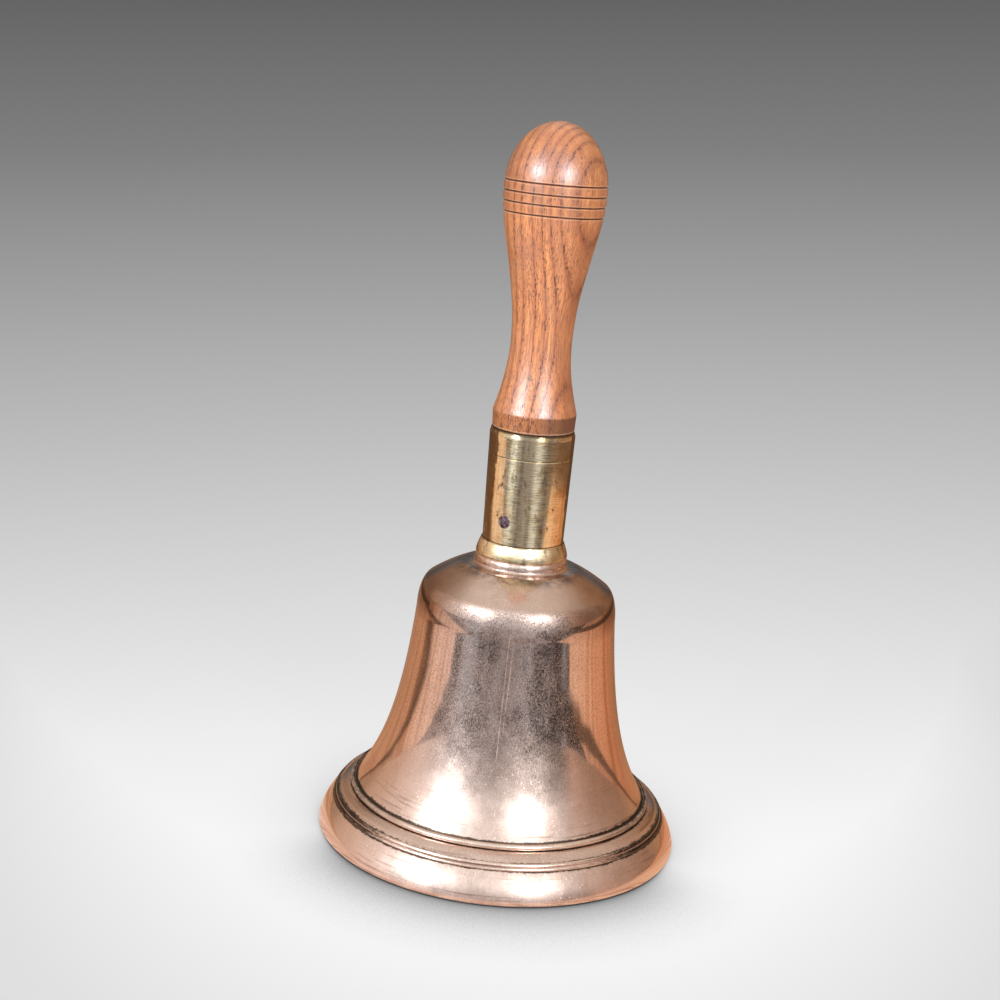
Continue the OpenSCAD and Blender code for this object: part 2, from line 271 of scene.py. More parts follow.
# %% Floor disc and its shade
FLOOR_R = 30.0
POOL_MIDDLE = 0.28
POOL_WIDE, POOL_DEEP = 0.235, 0.46
POOL = [(0.7, "#FDFDFD"), (0.85, "#F6F6F6"), (1.0, "#EBEBEB"), (1.15, "#E0E0E0"), (1.3, "#DCDCDC")]
floor = put("floor", bpy.data.meshes.new("floor"))
floor_shape = bmesh.new()
bmesh.ops.create_circle(floor_shape, cap_ends=True, radius=FLOOR_R, segments=96)
floor_shape.to_mesh(floor.data)

floor_paint, add, spot, _ = new_finish("pale_floor_paint")
toward = add("VectorMath SUBTRACT", [spot, camera.matrix_world.translation])
graded = backdrop_shade(add, add("VectorMath NORMALIZE", [toward]))
pool = add("VectorMath MULTIPLY_ADD", [
    spot, (1 / POOL_WIDE, 1 / POOL_DEEP, 1), (0, -POOL_MIDDLE / POOL_DEEP, 0),
])
pool = ramp(add, add("VectorMath LENGTH", [pool]), POOL[0][0], POOL[-1][0], POOL)
shade = add("Mix RGBA", [1, graded, pool], blend_type="DARKEN")
print("floor radius", FLOOR_R, "m")

# %% [markdown]
# How much open sky a spot sees deepens the shadow under the lip, most of all in front. Seen from
# below, the floor lets the view through, and under the mouth it lets light up through it, so
# that the inside of the bell can be looked at.

# %% Floor shadow and openings
UNDER_MOUTH_R = 0.0725
from_bell = add("VectorMath LENGTH", [spot])
most = add("MapRange", [from_bell, 0.1, 1.2, 0.92, 1])
share = add("MapRange", [seen_directly(add), 0, 1, 0.35, most])
open_sky = add("AmbientOcclusion", {"Distance": 0.050}, samples=8).outputs["AO"]
in_front = add("SeparateXYZ", [add("VectorMath NORMALIZE", [spot])]).outputs["Y"]
in_front = add("MapRange SMOOTHSTEP", [in_front, -0.25, -0.75, 0.8, 4.6])
glow = add("Emission", [shade, add("Math POWER", [open_sky, in_front])])
lit = add("MixShader", [share, add("BsdfDiffuse", [shade]), glow])
under_mouth = add("Math LESS_THAN", [from_bell, UNDER_MOUTH_R])
unseen = add("Math SUBTRACT", [1, add("LightPath").outputs["Is Camera Ray"]])
under_mouth = add("Math MULTIPLY", [under_mouth, unseen])
see_through = add("Math MAXIMUM", [add("NewGeometry").outputs["Backfacing"], under_mouth])
add("OutputMaterial", [add("MixShader", [see_through, lit, add("BsdfTransparent")])])
floor.data.materials.append(floor_paint)
print("floor paint has", len(floor_paint.node_tree.nodes), "nodes")

# %% [markdown]
# ## The room
# Polished metal also mirrors the room above the floor: walls in warm greys and browns, and a
# pale ceiling. Their colours are given by direction.

# %% Walls and ceiling
ROOM_WALL = [
    (-180, "#A08570"), (-130, "#B09176"), (-116, "#D4B39C"), (-100, "#DCBDA9"), (-85, "#F3DED4"),
    (-68, "#D6CAC6"), (-52, "#96969B"), (-25, "#7A787B"), (0, "#807C7E"), (30, "#74706F"),
    (58, "#6E625C"), (70, "#C39F8D"), (85, "#A07E68"), (118, "#9C7B65"), (134, "#BD9370"),
    (155, "#A07A5C"), (180, "#A08570"),
]
CEILING = [(-1, "#CDBBAE"), (-0.5, "#E6DCD4"), (0, "#F4F0EC"), (0.5, "#E2D5CA"), (1, "#C0A894")]
world = bpy.data.worlds.new("studio")
bpy.context.scene.world = world
world.use_nodes = True
world.node_tree.nodes.clear()
add = partial(add_node, world.node_tree)
direction = add("TexCoord").outputs["Generated"]
x, y, z = add("SeparateXYZ", [direction]).outputs
behind = add("MapRange", [y, 0.3, 1, 0, 1.5])
corner = add("Math MULTIPLY", [behind, add("Math ABSOLUTE", [x])])
lift = add("Math SUBTRACT", [z, corner])
lift = add("MapRange SMOOTHSTEP", [lift, 0.05, 0.95, 0, 0.88])
walls = by_degrees(add, facing(add, direction), ROOM_WALL)
room = add("Mix RGBA", [lift, walls, ramp(add, x, -1, 1, CEILING)])
print("wall colours:", len(ROOM_WALL), "and ceiling colours:", len(CEILING))

# %% [markdown]
# Straight behind the bell the room opens to the backdrop, and ordinary light gets one even grey
# from everywhere.

# %% Backdrop and even light
open_back = add("MapRange SMOOTHSTEP", [y, 0.86, 0.94])
open_back = add("Math MAXIMUM", [open_back, add("LightPath").outputs["Is Camera Ray"]])
room = add("Mix RGBA", [open_back, room, backdrop_shade(add, direction)])
fill = add("Background", ["#C6C4C2", 0.8])
add("OutputWorld", [add("MixShader", [seen_directly(add), fill, add("Background", [room])])])
print("world nodes:", len(world.node_tree.nodes))

# %% [markdown]
# ## Light
# Polished metal is drawn by what it mirrors. Two soft oval lamps in front, left and right,
# give the paired highlights on dome, ferrule, flare and lip. Their places come from the
# directions in which those highlights point. The bright ceiling is part of the world.

# %% Lamps
def lamp(name, place, wide, tall, radiance):
    """An oval area lamp aimed at the bell, whose surface has this brightness, where 1 is white."""
    data = bpy.data.lights.new(name, "AREA")
    data.shape = "ELLIPSE"
    data.size = wide
    data.size_y = tall
    data.energy = radiance * math.pi * (math.pi * wide * tall / 4)
    data.color = colour("#F0F6FF")[:3]
    made = put(name, data)
    made.location = place
    made.rotation_euler = (MIDDLE - Vector(place)).to_track_quat("-Z", "Y").to_euler()
    made.visible_camera = False
    print(name, "at", [round(c, 2) for c in place], "power", round(data.energy, 1), "W")


lamp("lamp_left", (-1.56, -1.56, 1.05), 0.76, 0.36, 64)
lamp("lamp_right", (0.80, -1.60, 0.93), 0.56, 0.34, 56)

# %% [markdown]
# ## Glowing boards
# The metal in the picture mirrors a warm wooden table round the bell and something grey beyond
# its front edge. Two boards on the floor glow with painted reflections of these. The warm board
# has a round hole in which the bell stands. Only polished surfaces see these boards; the camera
# and the floor don't.

# %% A board
BOARD_Z = 0.3


def board(name, points, faces, shade_of):
    """A glowing board just above the floor, a painted reflection seen in polished surfaces only."""
    data = bpy.data.meshes.new(name)
    data.from_pydata([(x, y, BOARD_Z * MM) for x, y in points], [], faces)
    made = put(name, data)
    made.visible_camera = False
    made.visible_shadow = False
    made.visible_transmission = False
    made.visible_diffuse = False
    paint, add, spot, _ = new_finish(name + "_paint")
    # Metal would throw this light onto the floor too, so only the first look at it counts.
    first = add("Math LESS_THAN", [add("LightPath").outputs["Diffuse Depth"], 0.5])
    glow = add("Emission", [shade_of(add, spot), first])
    back = add("NewGeometry").outputs["Backfacing"]
    add("OutputMaterial", [add("MixShader", [back, glow, add("BsdfTransparent")])])
    data.materials.append(paint)
    print(name, "has", len(data.polygons), "faces")


def ragged(add, spot, value, reach):
    """The same value, made uneven, so that an edge drawn from it is ragged."""
    wobble = add("Math SUBTRACT", [add("TexNoise", [spot, per(110), 4, 0.6]), 0.5])
    return add("Math MULTIPLY_ADD", [wobble, 2 * reach, value])


print("boards lie", BOARD_Z, "mm above the floor")

# %% [markdown]
# The table's colour changes with direction: pale pink at the left, orange at the right, browner
# behind. It has streaks, a dark gap at the left, and a dark band 0.6 m away, behind and at the
# right.

# %% Colour of the table
TABLE_WOOD = [
    (-180, "#A08468"), (-155, "#B08C74"), (-140, "#CC9874"), (-108, "#DEAC88"), (-90, "#FFDCC8"),
    (-60, "#FBDACA"), (60, "#FFD2B2"), (76, "#FFD0AE"), (100, "#EBAE88"), (124, "#D8946A"),
    (142, "#B17E5A"), (180, "#94694C"),
]
GAP_LOW, GAP_HIGH = -0.37, -0.215
GAP_WAY = (0.843, 0.539, 0)
GAP_SHARE = [(0, "#000000"), (0.12, "#999999"), (0.4, "#FFFFFF"), (0.8, "#BBBBBB"), (1, "#000000")]
BAND_SHARE = [(0, "#000000"), (0.02, "#FFFFFF"), (0.8, "#FFFFFF"), (1, "#888888")]


def wooden(add, spot):
    """The wooden table, as its polished surroundings see it."""
    # The table's colours, streaks, gap and dark band are a painted reflection.
    outward = add("VectorMath NORMALIZE", [spot])
    streaks = add("MapRange", [add("TexNoise", [outward, per(75), 5, 0.6]), 0.48, 0.60, 0, 0.55])
    gap = ragged(add, spot, add("VectorMath DOT_PRODUCT", [spot, GAP_WAY]), 0.012)
    gap = add("ValToRGB", [add("MapRange", [gap, GAP_LOW, GAP_HIGH])], stops=GAP_SHARE)
    band = ragged(add, spot, add("VectorMath LENGTH", [spot]), 0.04)
    band = add("ValToRGB", [add("MapRange", [band, 0.60, 1.30])], stops=BAND_SHARE)
    turned_to = facing(add, spot)
    beside = add("Math ABSOLUTE", [add("Math ADD", [turned_to, 29])])
    band = faded(add, band, beside, 82, 88)
    coats = [(streaks, "#A46640"), (gap, "#5A4232"), (band, "#6C5343")]
    return painted(add, by_degrees(add, turned_to, TABLE_WOOD), coats)


print("table colours:", len(TABLE_WOOD))

# %% [markdown]
# Beyond the table the room is a cool pale grey at the left and dark brown at the right. Dark and
# pale things stand about in it, as seen from the bell's waist.

# %% Colour of the grey room
GREY_ROOM = [
    (-75, "#7C706E"), (-60, "#8A7F7C"), (-48, "#9CA3AF"), (-30, "#6C6B70"), (-17, "#706C70"),
    (0, "#8E888B"), (14, "#6A666C"), (30, "#504D52"), (60, "#423B38"),
]
WAIST_HIGH = 0.085


def grey_room(add, spot):
    """The grey room, with its dark and pale things."""
    # The grey room and its dark and pale things are a painted reflection.
    turned_to = ragged(add, spot, facing(add, spot), 6)
    outward = add("VectorMath SUBTRACT", [spot, (0, 0, WAIST_HIGH)])
    outward = add("VectorMath NORMALIZE", [outward])
    outward = add("VectorMath MULTIPLY", [outward, (1, 1, 3)])
    things = add("TexNoise", [outward, per(200), 4, 0.6])
    dark = add("MapRange", [things, 0.52, 0.55, 0, 0.75])
    pale = add("MapRange", [things, 0.46, 0.40, 0, 0.45])
    return painted(add, by_degrees(add, turned_to, GREY_ROOM), [(dark, "#3B3539"), (pale, "#B4BAC6")])


print("grey room colours:", len(GREY_ROOM))

# %% [markdown]
# The warm board runs from its hole out to far away on three sides, and stops at the table's
# straight front edge. The grey board begins there.

# %% Lay the boards
TABLE_EDGE = -0.23
BOARD = 12.0
HOLE_R = 0.0764
SPOKES = 96
points = []
for k in range(SPOKES):
    turn = 2 * math.pi * k / SPOKES
    c, d = math.cos(turn), math.sin(turn)
    reach = min(BOARD / max(abs(c), 1e-6), (BOARD if d > 0 else -TABLE_EDGE) / max(abs(d), 1e-6))
    points += [(HOLE_R * c, HOLE_R * d), (reach * c, reach * d)]
n = len(points)
faces = [(2 * k, 2 * k + 1, (2 * k + 3) % n, (2 * k + 2) % n) for k in range(SPOKES)]
board("warm_board", points, faces, wooden)
corners = [(-BOARD, -BOARD), (BOARD, -BOARD), (BOARD, TABLE_EDGE), (-BOARD, TABLE_EDGE)]
board("grey_board", corners, [(0, 1, 2, 3)], grey_room)

# %% [markdown]
# ## Turned shapes
# Bell, ferrule and handle are all turned, so each is one outline spun round the axis. Smooth
# stretches of an outline are Bezier curves with a few handles, which is how the real profile
# flows, and small rounds are arcs. The same formulas shape the CAD model, here with many more
# points, so that highlights run smoothly and the thin reeds stay round.

# %% Curves, arcs and reeds
def bezier(points, n):
    """Points along a curve through 3 or 4 handles, without the first one."""
    t = np.linspace(0, 1, n + 1)[1:, None]
    p = [np.array(q, float) for q in points]
    while len(p) > 1:
        p = [a * (1 - t) + b * t for a, b in zip(p, p[1:])]
    return p[0]


def arc(centre, r, h, start, end, n):
    """Points on an ellipse from one angle to another, in degrees."""
    w = np.radians(np.linspace(start, end, n + 1))
    return np.stack([centre[0] + r * np.cos(w), centre[1] + h * np.sin(w)], 1)


def reed(a, b, proud, n=20):
    """A half-round reed that stands proud of the line from a to b."""
    d = np.subtract(b, a)
    out = np.array([d[1], -d[0]]) / np.hypot(*d)
    w = np.linspace(0, math.pi, n + 1)[1:, None]
    return np.array(a) + d * (1 - np.cos(w)) / 2 + out * proud * np.sin(w)


def fill_in(outline, step):
    """The same outline with extra points, so that no two lie further apart than the step."""
    points = [np.array(outline[0], float)]
    for p in outline[1:]:
        start = points[-1]
        way = np.array(p, float) - start
        gap = np.hypot(*way)
        if gap >= 1e-4:
            n = max(1, math.ceil(gap / step))
            points += [start + way * i / n for i in range(1, n + 1)]
    return np.array(points)


print("a curve through 4 handles:", bezier([(0, 0), (1, 0), (2, 1), (2, 2)], 2).tolist())

# %% [markdown]
# Dirt and tarnish stay in hollows, and rubbing keeps edges bright. To let the finishes know
# where those are, each turned piece carries a value called relief: how far the surface stands
# proud of its own smoothed outline, in millimetres, and below zero in a groove.

# %% Relief of an outline
def relief(points, reach):
    """How far each point stands out from the outline averaged over the reach, in mm."""
    steps = np.hypot(*np.diff(points, axis=0).T)
    s = np.concatenate([[0], np.cumsum(steps)])
    share = np.concatenate([[steps[0]], (steps[1:] + steps[:-1]) / 2, [steps[-1]]])
    w = np.exp(-(((s[:, None] - s[None, :]) / reach) ** 2) / 2) * share
    smooth = (w @ points) / w.sum(1)[:, None]
    run = np.gradient(points, axis=0)
    out = np.stack([run[:, 1], -run[:, 0]], 1)
    out /= np.maximum(np.hypot(*out.T), 1e-9)[:, None]
    return ((points - smooth) * out).sum(1)


ridge = np.array([(10, 0), (10, 1), (10.5, 1.5), (10, 2), (10, 3)])
print("a ridge of 0.5 mm has relief", [round(float(mm), 2) for mm in relief(ridge, 0.9)])

# %% [markdown]
# A screw modifier could spin the outline too, but it can't carry the relief. So the mesh is
# built directly: a grid of points, whose rows are the outline's points.

# %% Spin an outline into a mesh
SHARP_CUT = math.radians(32)


def turned(name, outline, segments, body, closed=False, reach=0.9, **marks):
    """Spins (radius, height) points in mm round Z. Marks are values per point, kept for the finish."""
    points = np.array(outline)
    marks["relief"] = relief(points, reach)
    turn = np.linspace(0, 2 * math.pi, segments, endpoint=False)
    r, z = points[:, :1] * MM, points[:, 1:] * MM
    grid = np.stack([r * np.cos(turn), r * np.sin(turn), z + 0 * turn], -1)
    index = np.arange(len(points) * segments).reshape(len(points), segments)
    ahead = np.roll(index, -1, 1)
    if closed:
        index, ahead = np.vstack([index, index[:1]]), np.vstack([ahead, ahead[:1]])
    faces = np.stack([index[:-1], ahead[:-1], ahead[1:], index[1:]], -1).reshape(-1, 4)
    data = bpy.data.meshes.new(name)
    data.from_pydata(grid.reshape(-1, 3).tolist(), [], faces.tolist())
    for mark, values in marks.items():
        layer = data.attributes.new(mark, "FLOAT", "POINT")
        layer.data.foreach_set("value", np.repeat(np.asarray(values, np.float32), segments))
    shape = bmesh.new()
    shape.from_mesh(data)
    axis = [v for v in shape.verts if v.co.x**2 + v.co.y**2 < 1e-12]
    bmesh.ops.remove_doubles(shape, verts=axis, dist=1e-6)
    shape.to_mesh(data)
    data.shade_smooth()
    data.set_sharp_from_angle(angle=SHARP_CUT)
    piece = put(name, data)
    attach(piece, body)
    print(name, "has", len(data.polygons), "faces")
    return piece


print("edges sharper than", round(math.degrees(SHARP_CUT)), "degrees stay sharp")

# %% [markdown]
# Old metal and wood are never quite true. Moving the points in by less than the eye can measure,
# following smooth noise, is enough to break up the mirror images.

# %% Shallow dents
def weather(piece, size, depth, low, high, seed):
    """Moves the surface inwards a little, unevenly, between two heights in mm."""
    for v in piece.data.vertices:
        r = math.hypot(v.co.x, v.co.y)
        if low <= v.co.z / MM <= high and r > MM:
            dent = noise.noise(v.co / (size * MM) + Vector((seed, seed, seed)))
            v.co.xy *= 1 - max(0.0, 0.5 + dent) * depth * MM / r


print("noise at a point:", round(noise.noise(MIDDLE), 3))

# %% [markdown]
# ## The bell casting
# One pour of bell bronze, then turned outside. From the land it stands on, the outline runs up
# the lip face, over two thin reeds, a smooth band and a bead, then up the long flare to the
# shoulder, over the slightly domed crown and up to the boss. Inside it comes back down.

# %% Lip and mouldings
LAND_ROUND = 0.8
LIP_TOP = np.array([MOUTH_R - 5.7, 12.6])
REED_STEP = np.array([-1.0, 1.3])
REED_PROUD = 0.45
BEAD = LIP_TOP + np.array([-8.0, 6.45])
BEAD_R = 1.3
SKIRT = BEAD + BEAD_R * np.array([-1.05, 1.1])


def lip_and_mouldings():
    """From the land up to the bead."""
    first = LIP_TOP + REED_STEP
    second = first + REED_STEP
    bead = arc(BEAD, BEAD_R, BEAD_R, -60, 138, 40)
    band = (second + bead[0]) / 2 + 0.45 * np.array([1, 1.6])
    return np.concatenate([
        arc((MOUTH_R - LAND_ROUND, LAND_ROUND), LAND_ROUND, LAND_ROUND, -90, 0, 10),
        bezier([(MOUTH_R, LAND_ROUND), ((MOUTH_R + LIP_TOP[0]) / 2 + 2, 6.3), LIP_TOP], 24),
        reed(LIP_TOP, first, REED_PROUD),
        reed(first, second, REED_PROUD),
        bezier([second, band, bead[0]], 20),
        bead[1:],
        [SKIRT],
    ])


print("the mouldings reach", round(float(SKIRT[1]), 2), "mm up")

# %% [markdown]
# The flare is one curve, which starts along the skirt and ends nearly upright at the waist. The
# corner of the shoulder is part of an ellipse that meets the crown's slope without a break.

# %% Flare, shoulder and crown
FLARE_TURN = math.radians(34.6)
ALONG = np.array([-math.sin(FLARE_TURN), math.cos(FLARE_TURN)])
OUTWARD = np.array([math.cos(FLARE_TURN), math.sin(FLARE_TURN)])
WAIST = np.array([WAIST_R, SHOULDER_Z])
CORNER_R, CORNER_H = 4.5, 12.9
CROWN_R = 23.5
BOSS_R = 19.3
BOSS_FILLET = 1.5


def flare(low, top, n=90):
    """The flare's curve, from the bead up to the waist."""
    return bezier([low, low + ALONG * 20.5, top + np.array([0.077, -1]) * 33.7, top], n)


def shoulder_and_crown():
    """From the waist up to the boss."""
    turn_r, fillet_z = WAIST_R - CORNER_R, BOSS_Z - 3.3 - BOSS_FILLET
    slope = math.atan2(fillet_z - SHOULDER_Z - CORNER_H, turn_r - CROWN_R)
    last = math.degrees(math.atan2(CORNER_H, CORNER_R * math.tan(slope)))
    corner = arc((turn_r, SHOULDER_Z), CORNER_R, CORNER_H, 0, last, 40)
    a, b = corner[-1], np.array([CROWN_R, fillet_z])
    boss_low = (BOSS_R, fillet_z + BOSS_FILLET)
    return np.concatenate([
        corner[1:],
        bezier([a, (a + b) / 2 + np.array([0, 1.2]), b], 24),
        bezier([b, (BOSS_R, fillet_z), boss_low], 14),
        bezier([boss_low, (BOSS_R + 0.15, BOSS_Z - 0.9), (BOSS_R - 1, BOSS_Z)], 14),
    ])


print("outline points on the crown:", len(shoulder_and_crown()))

# %% [markdown]
# The inside follows the outside: 3.2 mm of metal at the waist and 4.6 mm at the bead, where the
# clapper strikes.

# %% Inside of the bell
WAIST_WALL = 3.2
STRIKE_WALL = 4.6
LAND_IN_R = MOUTH_R - 2.8
BOLT_R = 4.0
CEILING_Z = 112.5


def hollow():
    """From the crown's bolt hole down the inside to the land."""
    top = WAIST - np.array([WAIST_WALL, 0])
    low = SKIRT - OUTWARD * STRIKE_WALL
    edge = np.array([19.0, CEILING_Z])
    ceiling = bezier([top, top + np.array([0, 9.24]), edge + np.array([12, -3]), edge], 24)
    return np.concatenate([
        [(BOLT_R, BOSS_Z), (BOLT_R, CEILING_Z)],
        ceiling[::-1],
        flare(low, top, 50)[::-1],
        [low],
        bezier([low, low - ALONG * 9, (LAND_IN_R, 0)], 16),
    ])


print("outline points inside:", len(hollow()))

# %% [markdown]
# Years of knocks and polishing have worn the reeds, the bead and the boss unevenly, so those
# get shallow dents. A value called inner marks the inside, which was never polished.

# %% Spin the bell
outside = np.concatenate([lip_and_mouldings(), flare(SKIRT, WAIST), shoulder_and_crown()])
outside = fill_in(outside, 0.7)
inside = fill_in(hollow(), 1.5)
outline = np.concatenate([outside, inside])
inner = [0.0] * len(outside) + [1.0] * len(inside)
bell = turned("bell_casting", outline, 288, "bell_and_handle", closed=True, inner=inner)
# Each row: how wide and how deep the dents are, between which heights, and a seed.
for dents in ((2.5, 0.08, 12.2, 16, 3), (3.0, 0.08, 17.6, 20.6, 5), (2.0, 0.12, 119, 122.7, 9)):
    weather(bell, *dents)
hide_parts("bell")

# %% [markdown]
# ## The ferrule
# A brass cup, turned on the outside. Its foot flares out over the boss, an incised line runs
# round under the rim, and the iron pin that locks the handle comes out flush on both sides.

# %% Ferrule outline
PIN_R = 2.7
PIN_Z = BOSS_Z + 16
LINE_Z = SEAT_Z - 10.5
LINE_HALF, LINE_DEEP = 0.35, 0.3
FOOT_ROUND, RIM_ROUND = 0.5, 0.7
CUP_IN_R = 15.2
CUP_FLOOR_Z = BOSS_Z + 3
low_point = np.array([16.75, BOSS_Z + 6.3])
high_point = np.array([17.5, SEAT_Z - 2.1])
line_r = low_point[0] + 0.75 * (LINE_Z - low_point[1]) / (high_point[1] - low_point[1])
cut_line = [(line_r, LINE_Z - LINE_HALF), (line_r - LINE_DEEP, LINE_Z), (line_r, LINE_Z + LINE_HALF)]
ferrule_outside = np.concatenate([
    arc((18.5, BOSS_Z + FOOT_ROUND), FOOT_ROUND, FOOT_ROUND, -90, 10, 8),
    bezier([(19, BOSS_Z + FOOT_ROUND), (18.5, BOSS_Z + 3), (17.2, BOSS_Z + 6)], 20),
    [low_point, *cut_line, high_point],
    arc((16.45, SEAT_Z - RIM_ROUND), RIM_ROUND, RIM_ROUND, 0, 90, 8),
])
near_pin = [(CUP_IN_R, z) for z in np.arange(PIN_Z + 4, PIN_Z - 4, -0.5)]
cup_floor = [(CUP_IN_R, CUP_FLOOR_Z), (BOLT_R, CUP_FLOOR_Z), (BOLT_R, BOSS_Z)]
ferrule_inside = [(CUP_IN_R, SEAT_Z)] + near_pin + cup_floor
print("the incised line is", round(2 * float(line_r), 2), "mm across")

# %% [markdown]
# The pin's hole is opened in the spun mesh: faces inside the pin's radius go from the outer and
# the inner side of the cup, the edges that are left are pulled onto the true circle, and the
# wall of the hole joins them. Cutting it with a boolean would spoil the smooth shading.

# %% Opening a pin hole
PIN_TURN = math.radians(29)
PIN_WAY = Vector((-math.sin(PIN_TURN), -math.cos(PIN_TURN), 0))
UP = Vector((0, 0, 1))


def open_hole(piece, way, side):
    """Opens a round hole through the cup where the pin comes out."""
    shape = bmesh.new()
    shape.from_mesh(piece.data)
    centre = UP * PIN_Z * MM
    across = way.cross(UP)

    def off_axis(co):
        local = co - centre
        return Vector((local.dot(across), local.z)), local.dot(way)

    inside_hole = []
    for f in shape.faces:
        flat, depth = off_axis(f.calc_center_median())
        if flat.length < PIN_R * MM and depth > 0:
            inside_hole.append(f)
    bmesh.ops.delete(shape, geom=inside_hole, context="FACES")
    rim = [e for e in shape.edges if e.is_boundary]
    for v in {v for e in rim for v in e.verts}:
        flat = off_axis(v.co)[0].normalized() * PIN_R * MM
        outer = math.hypot(v.co.x, v.co.y)
        v.co.z = centre.z + flat.y
        v.co.xy = (way * math.sqrt(outer**2 - flat.x**2) + across * flat.x).xy
    bmesh.ops.bridge_loops(shape, edges=rim)
    bmesh.ops.recalc_face_normals(shape, faces=shape.faces)
    shape.to_mesh(piece.data)
    piece.data.set_sharp_from_angle(angle=SHARP_CUT)
    print("hole", side, "removed", len(inside_hole), "faces")


print("the pin leaves the ferrule", round(math.degrees(PIN_TURN)), "degrees left of the front")

# %% Spin the ferrule and open its pin holes
outline = np.concatenate([fill_in(ferrule_outside, 0.4), fill_in(ferrule_inside, 3)])
ferrule = turned("ferrule_cup", outline, 320, "bell_and_handle", closed=True)
open_hole(ferrule, PIN_WAY, "front")
open_hole(ferrule, -PIN_WAY, "back")
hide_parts("ferrule")

# %% [markdown]
# ## The handle
# Turned from one piece of ring-porous wood. A short base band sits on the ferrule, the grip
# swells from a slim neck to the knob, and four lines are cut round it. Its tenon goes down
# into the ferrule and is hollow round the nut.

# %% Handle outline
KNOB_R, DOME_H = 20.7, 26
BAND_TOP = np.array([17.1, SEAT_Z + 7.2])
NECK = np.array([12.4, SEAT_Z + 36.6])
KNOB = np.array([KNOB_R, TOP_Z - DOME_H])
UPWARD = np.array([0, 1])
neck_rise = NECK[1] - BAND_TOP[1]
knob_rise = KNOB[1] - NECK[1]
to_neck = [BAND_TOP, BAND_TOP + np.array([-0.084, 0.3]) * neck_rise, NECK - UPWARD * 0.41 * neck_rise, NECK]
to_knob = [NECK, NECK + UPWARD * 0.39 * knob_rise, KNOB - UPWARD * 0.31 * knob_rise, KNOB]
grip = np.concatenate([
    [(16.3, SEAT_Z), (16.8, SEAT_Z + 0.5), BAND_TOP],
    bezier(to_neck, 50),
    bezier(to_knob, 90),
    arc((0, KNOB[1]), KNOB_R, DOME_H, 2, 88, 43),
    [(0, TOP_Z)],
])
grip = fill_in(grip, 0.8)
TENON_R, NUT_HOLLOW_R, TENON_LOW, NUT_HOLLOW_TOP = 15.15, 10, 126, 134
tenon = [
    (0, NUT_HOLLOW_TOP), (NUT_HOLLOW_R, NUT_HOLLOW_TOP), (NUT_HOLLOW_R, TENON_LOW),
    (TENON_R, TENON_LOW), (TENON_R, SEAT_Z),
]
print("outline points on the grip:", len(grip))

# %% [markdown]
# The cut lines are real V grooves. They are narrow, so the outline first gets extra points
# close to each, and then the lines are pressed in.

# %% Cut lines round the knob
GROOVE_W, GROOVE_DEEP = 0.95, 0.6
GROOVE_STEP = 4.07
DOME_FROM = KNOB[1] + 10
groove_heights = [KNOB[1] + 2.2 - GROOVE_STEP * i for i in range(4)]
fine = np.interp(np.arange(0, len(grip) - 1, 0.2), np.arange(len(grip)), grip[:, 1])
near_groove = np.min([np.abs(fine - z) for z in groove_heights], 0) < 0.6
fine = np.unique(np.concatenate([grip[:, 1], fine[near_groove]]))
fine = fine[(fine > BAND_TOP[1]) & (fine < DOME_FROM)]
grip = np.concatenate([
    grip[grip[:, 1] <= BAND_TOP[1]],
    np.stack([np.interp(fine, grip[:, 1], grip[:, 0]), fine], 1),
    grip[grip[:, 1] >= DOME_FROM],
])
for z in groove_heights:
    off = np.abs(grip[:, 1] - z) / (GROOVE_W / 2)
    grip[:, 0] -= GROOVE_DEEP * np.clip(1 - off, 0, 1) ** 0.8
print("grooves at heights", [round(float(z), 1) for z in groove_heights], "mm")

# %% [markdown]
# Tenon and grip are one outline. Hands have worn the wood a little uneven above the base band.

# %% Spin the handle
outline = np.concatenate([fill_in(tenon, 4), grip])
handle = turned("turned_handle", outline, 256, "bell_and_handle", reach=0.8)
weather(handle, 14, 0.12, SEAT_Z + 9, TOP_Z, 1)
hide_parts("handle")

# %% [markdown]
# ## Iron pieces
# The hanger, the clapper and the pins are forged and filed, so their edges are soft. A copy of
# each CAD solid gets its triangles joined into clean faces and a small bevel. The leather
# washer's cut edges are softened in the same way.

# %% Soften the edges of the forged pieces
SHARP_FORGED = math.radians(30)
SHARP_BEVEL = math.radians(40)


def forged(name, node, body, bevel):
    """A copy of a CAD solid with joined faces and worn, rounded edges."""
    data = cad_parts[node].data.copy()
    data.name = name
    data.materials.clear()
    shape = bmesh.new()
    shape.from_mesh(data)
    bmesh.ops.remove_doubles(shape, verts=shape.verts, dist=1e-6)
    bmesh.ops.dissolve_limit(shape, angle_limit=math.radians(1), verts=shape.verts, edges=shape.edges)
    shape.to_mesh(data)
    data.shade_smooth()
    data.set_sharp_from_angle(angle=SHARP_FORGED)
    piece = put(name, data)
    rounding = piece.modifiers.new("worn_edges", "BEVEL")
    rounding.width = bevel * MM
    rounding.segments = 3
    rounding.limit_method = "ANGLE"
    rounding.angle_limit = SHARP_BEVEL
    rounding.harden_normals = True
    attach(piece, body)
    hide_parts(node)
    print(name, "has", len(data.polygons), "faces before its bevel")
    return piece


hanger = forged("forged_hanger", "clapper_hanger", "bell_and_handle", 0.5)
hinge_pin = forged("riveted_hinge_pin", "clapper_pin", "bell_and_handle", 0.45)
shank = forged("clapper_rod", "clapper_shank", "clapper", 0.5)
washer = forged("leather_washer", "crown_washer", "bell_and_handle", 0.35)

# %% [markdown]
# The striking ball is a casting with a bore for the rod. It is round, so it is spun like the
# turned pieces, with a flat above and below where the rod comes through.

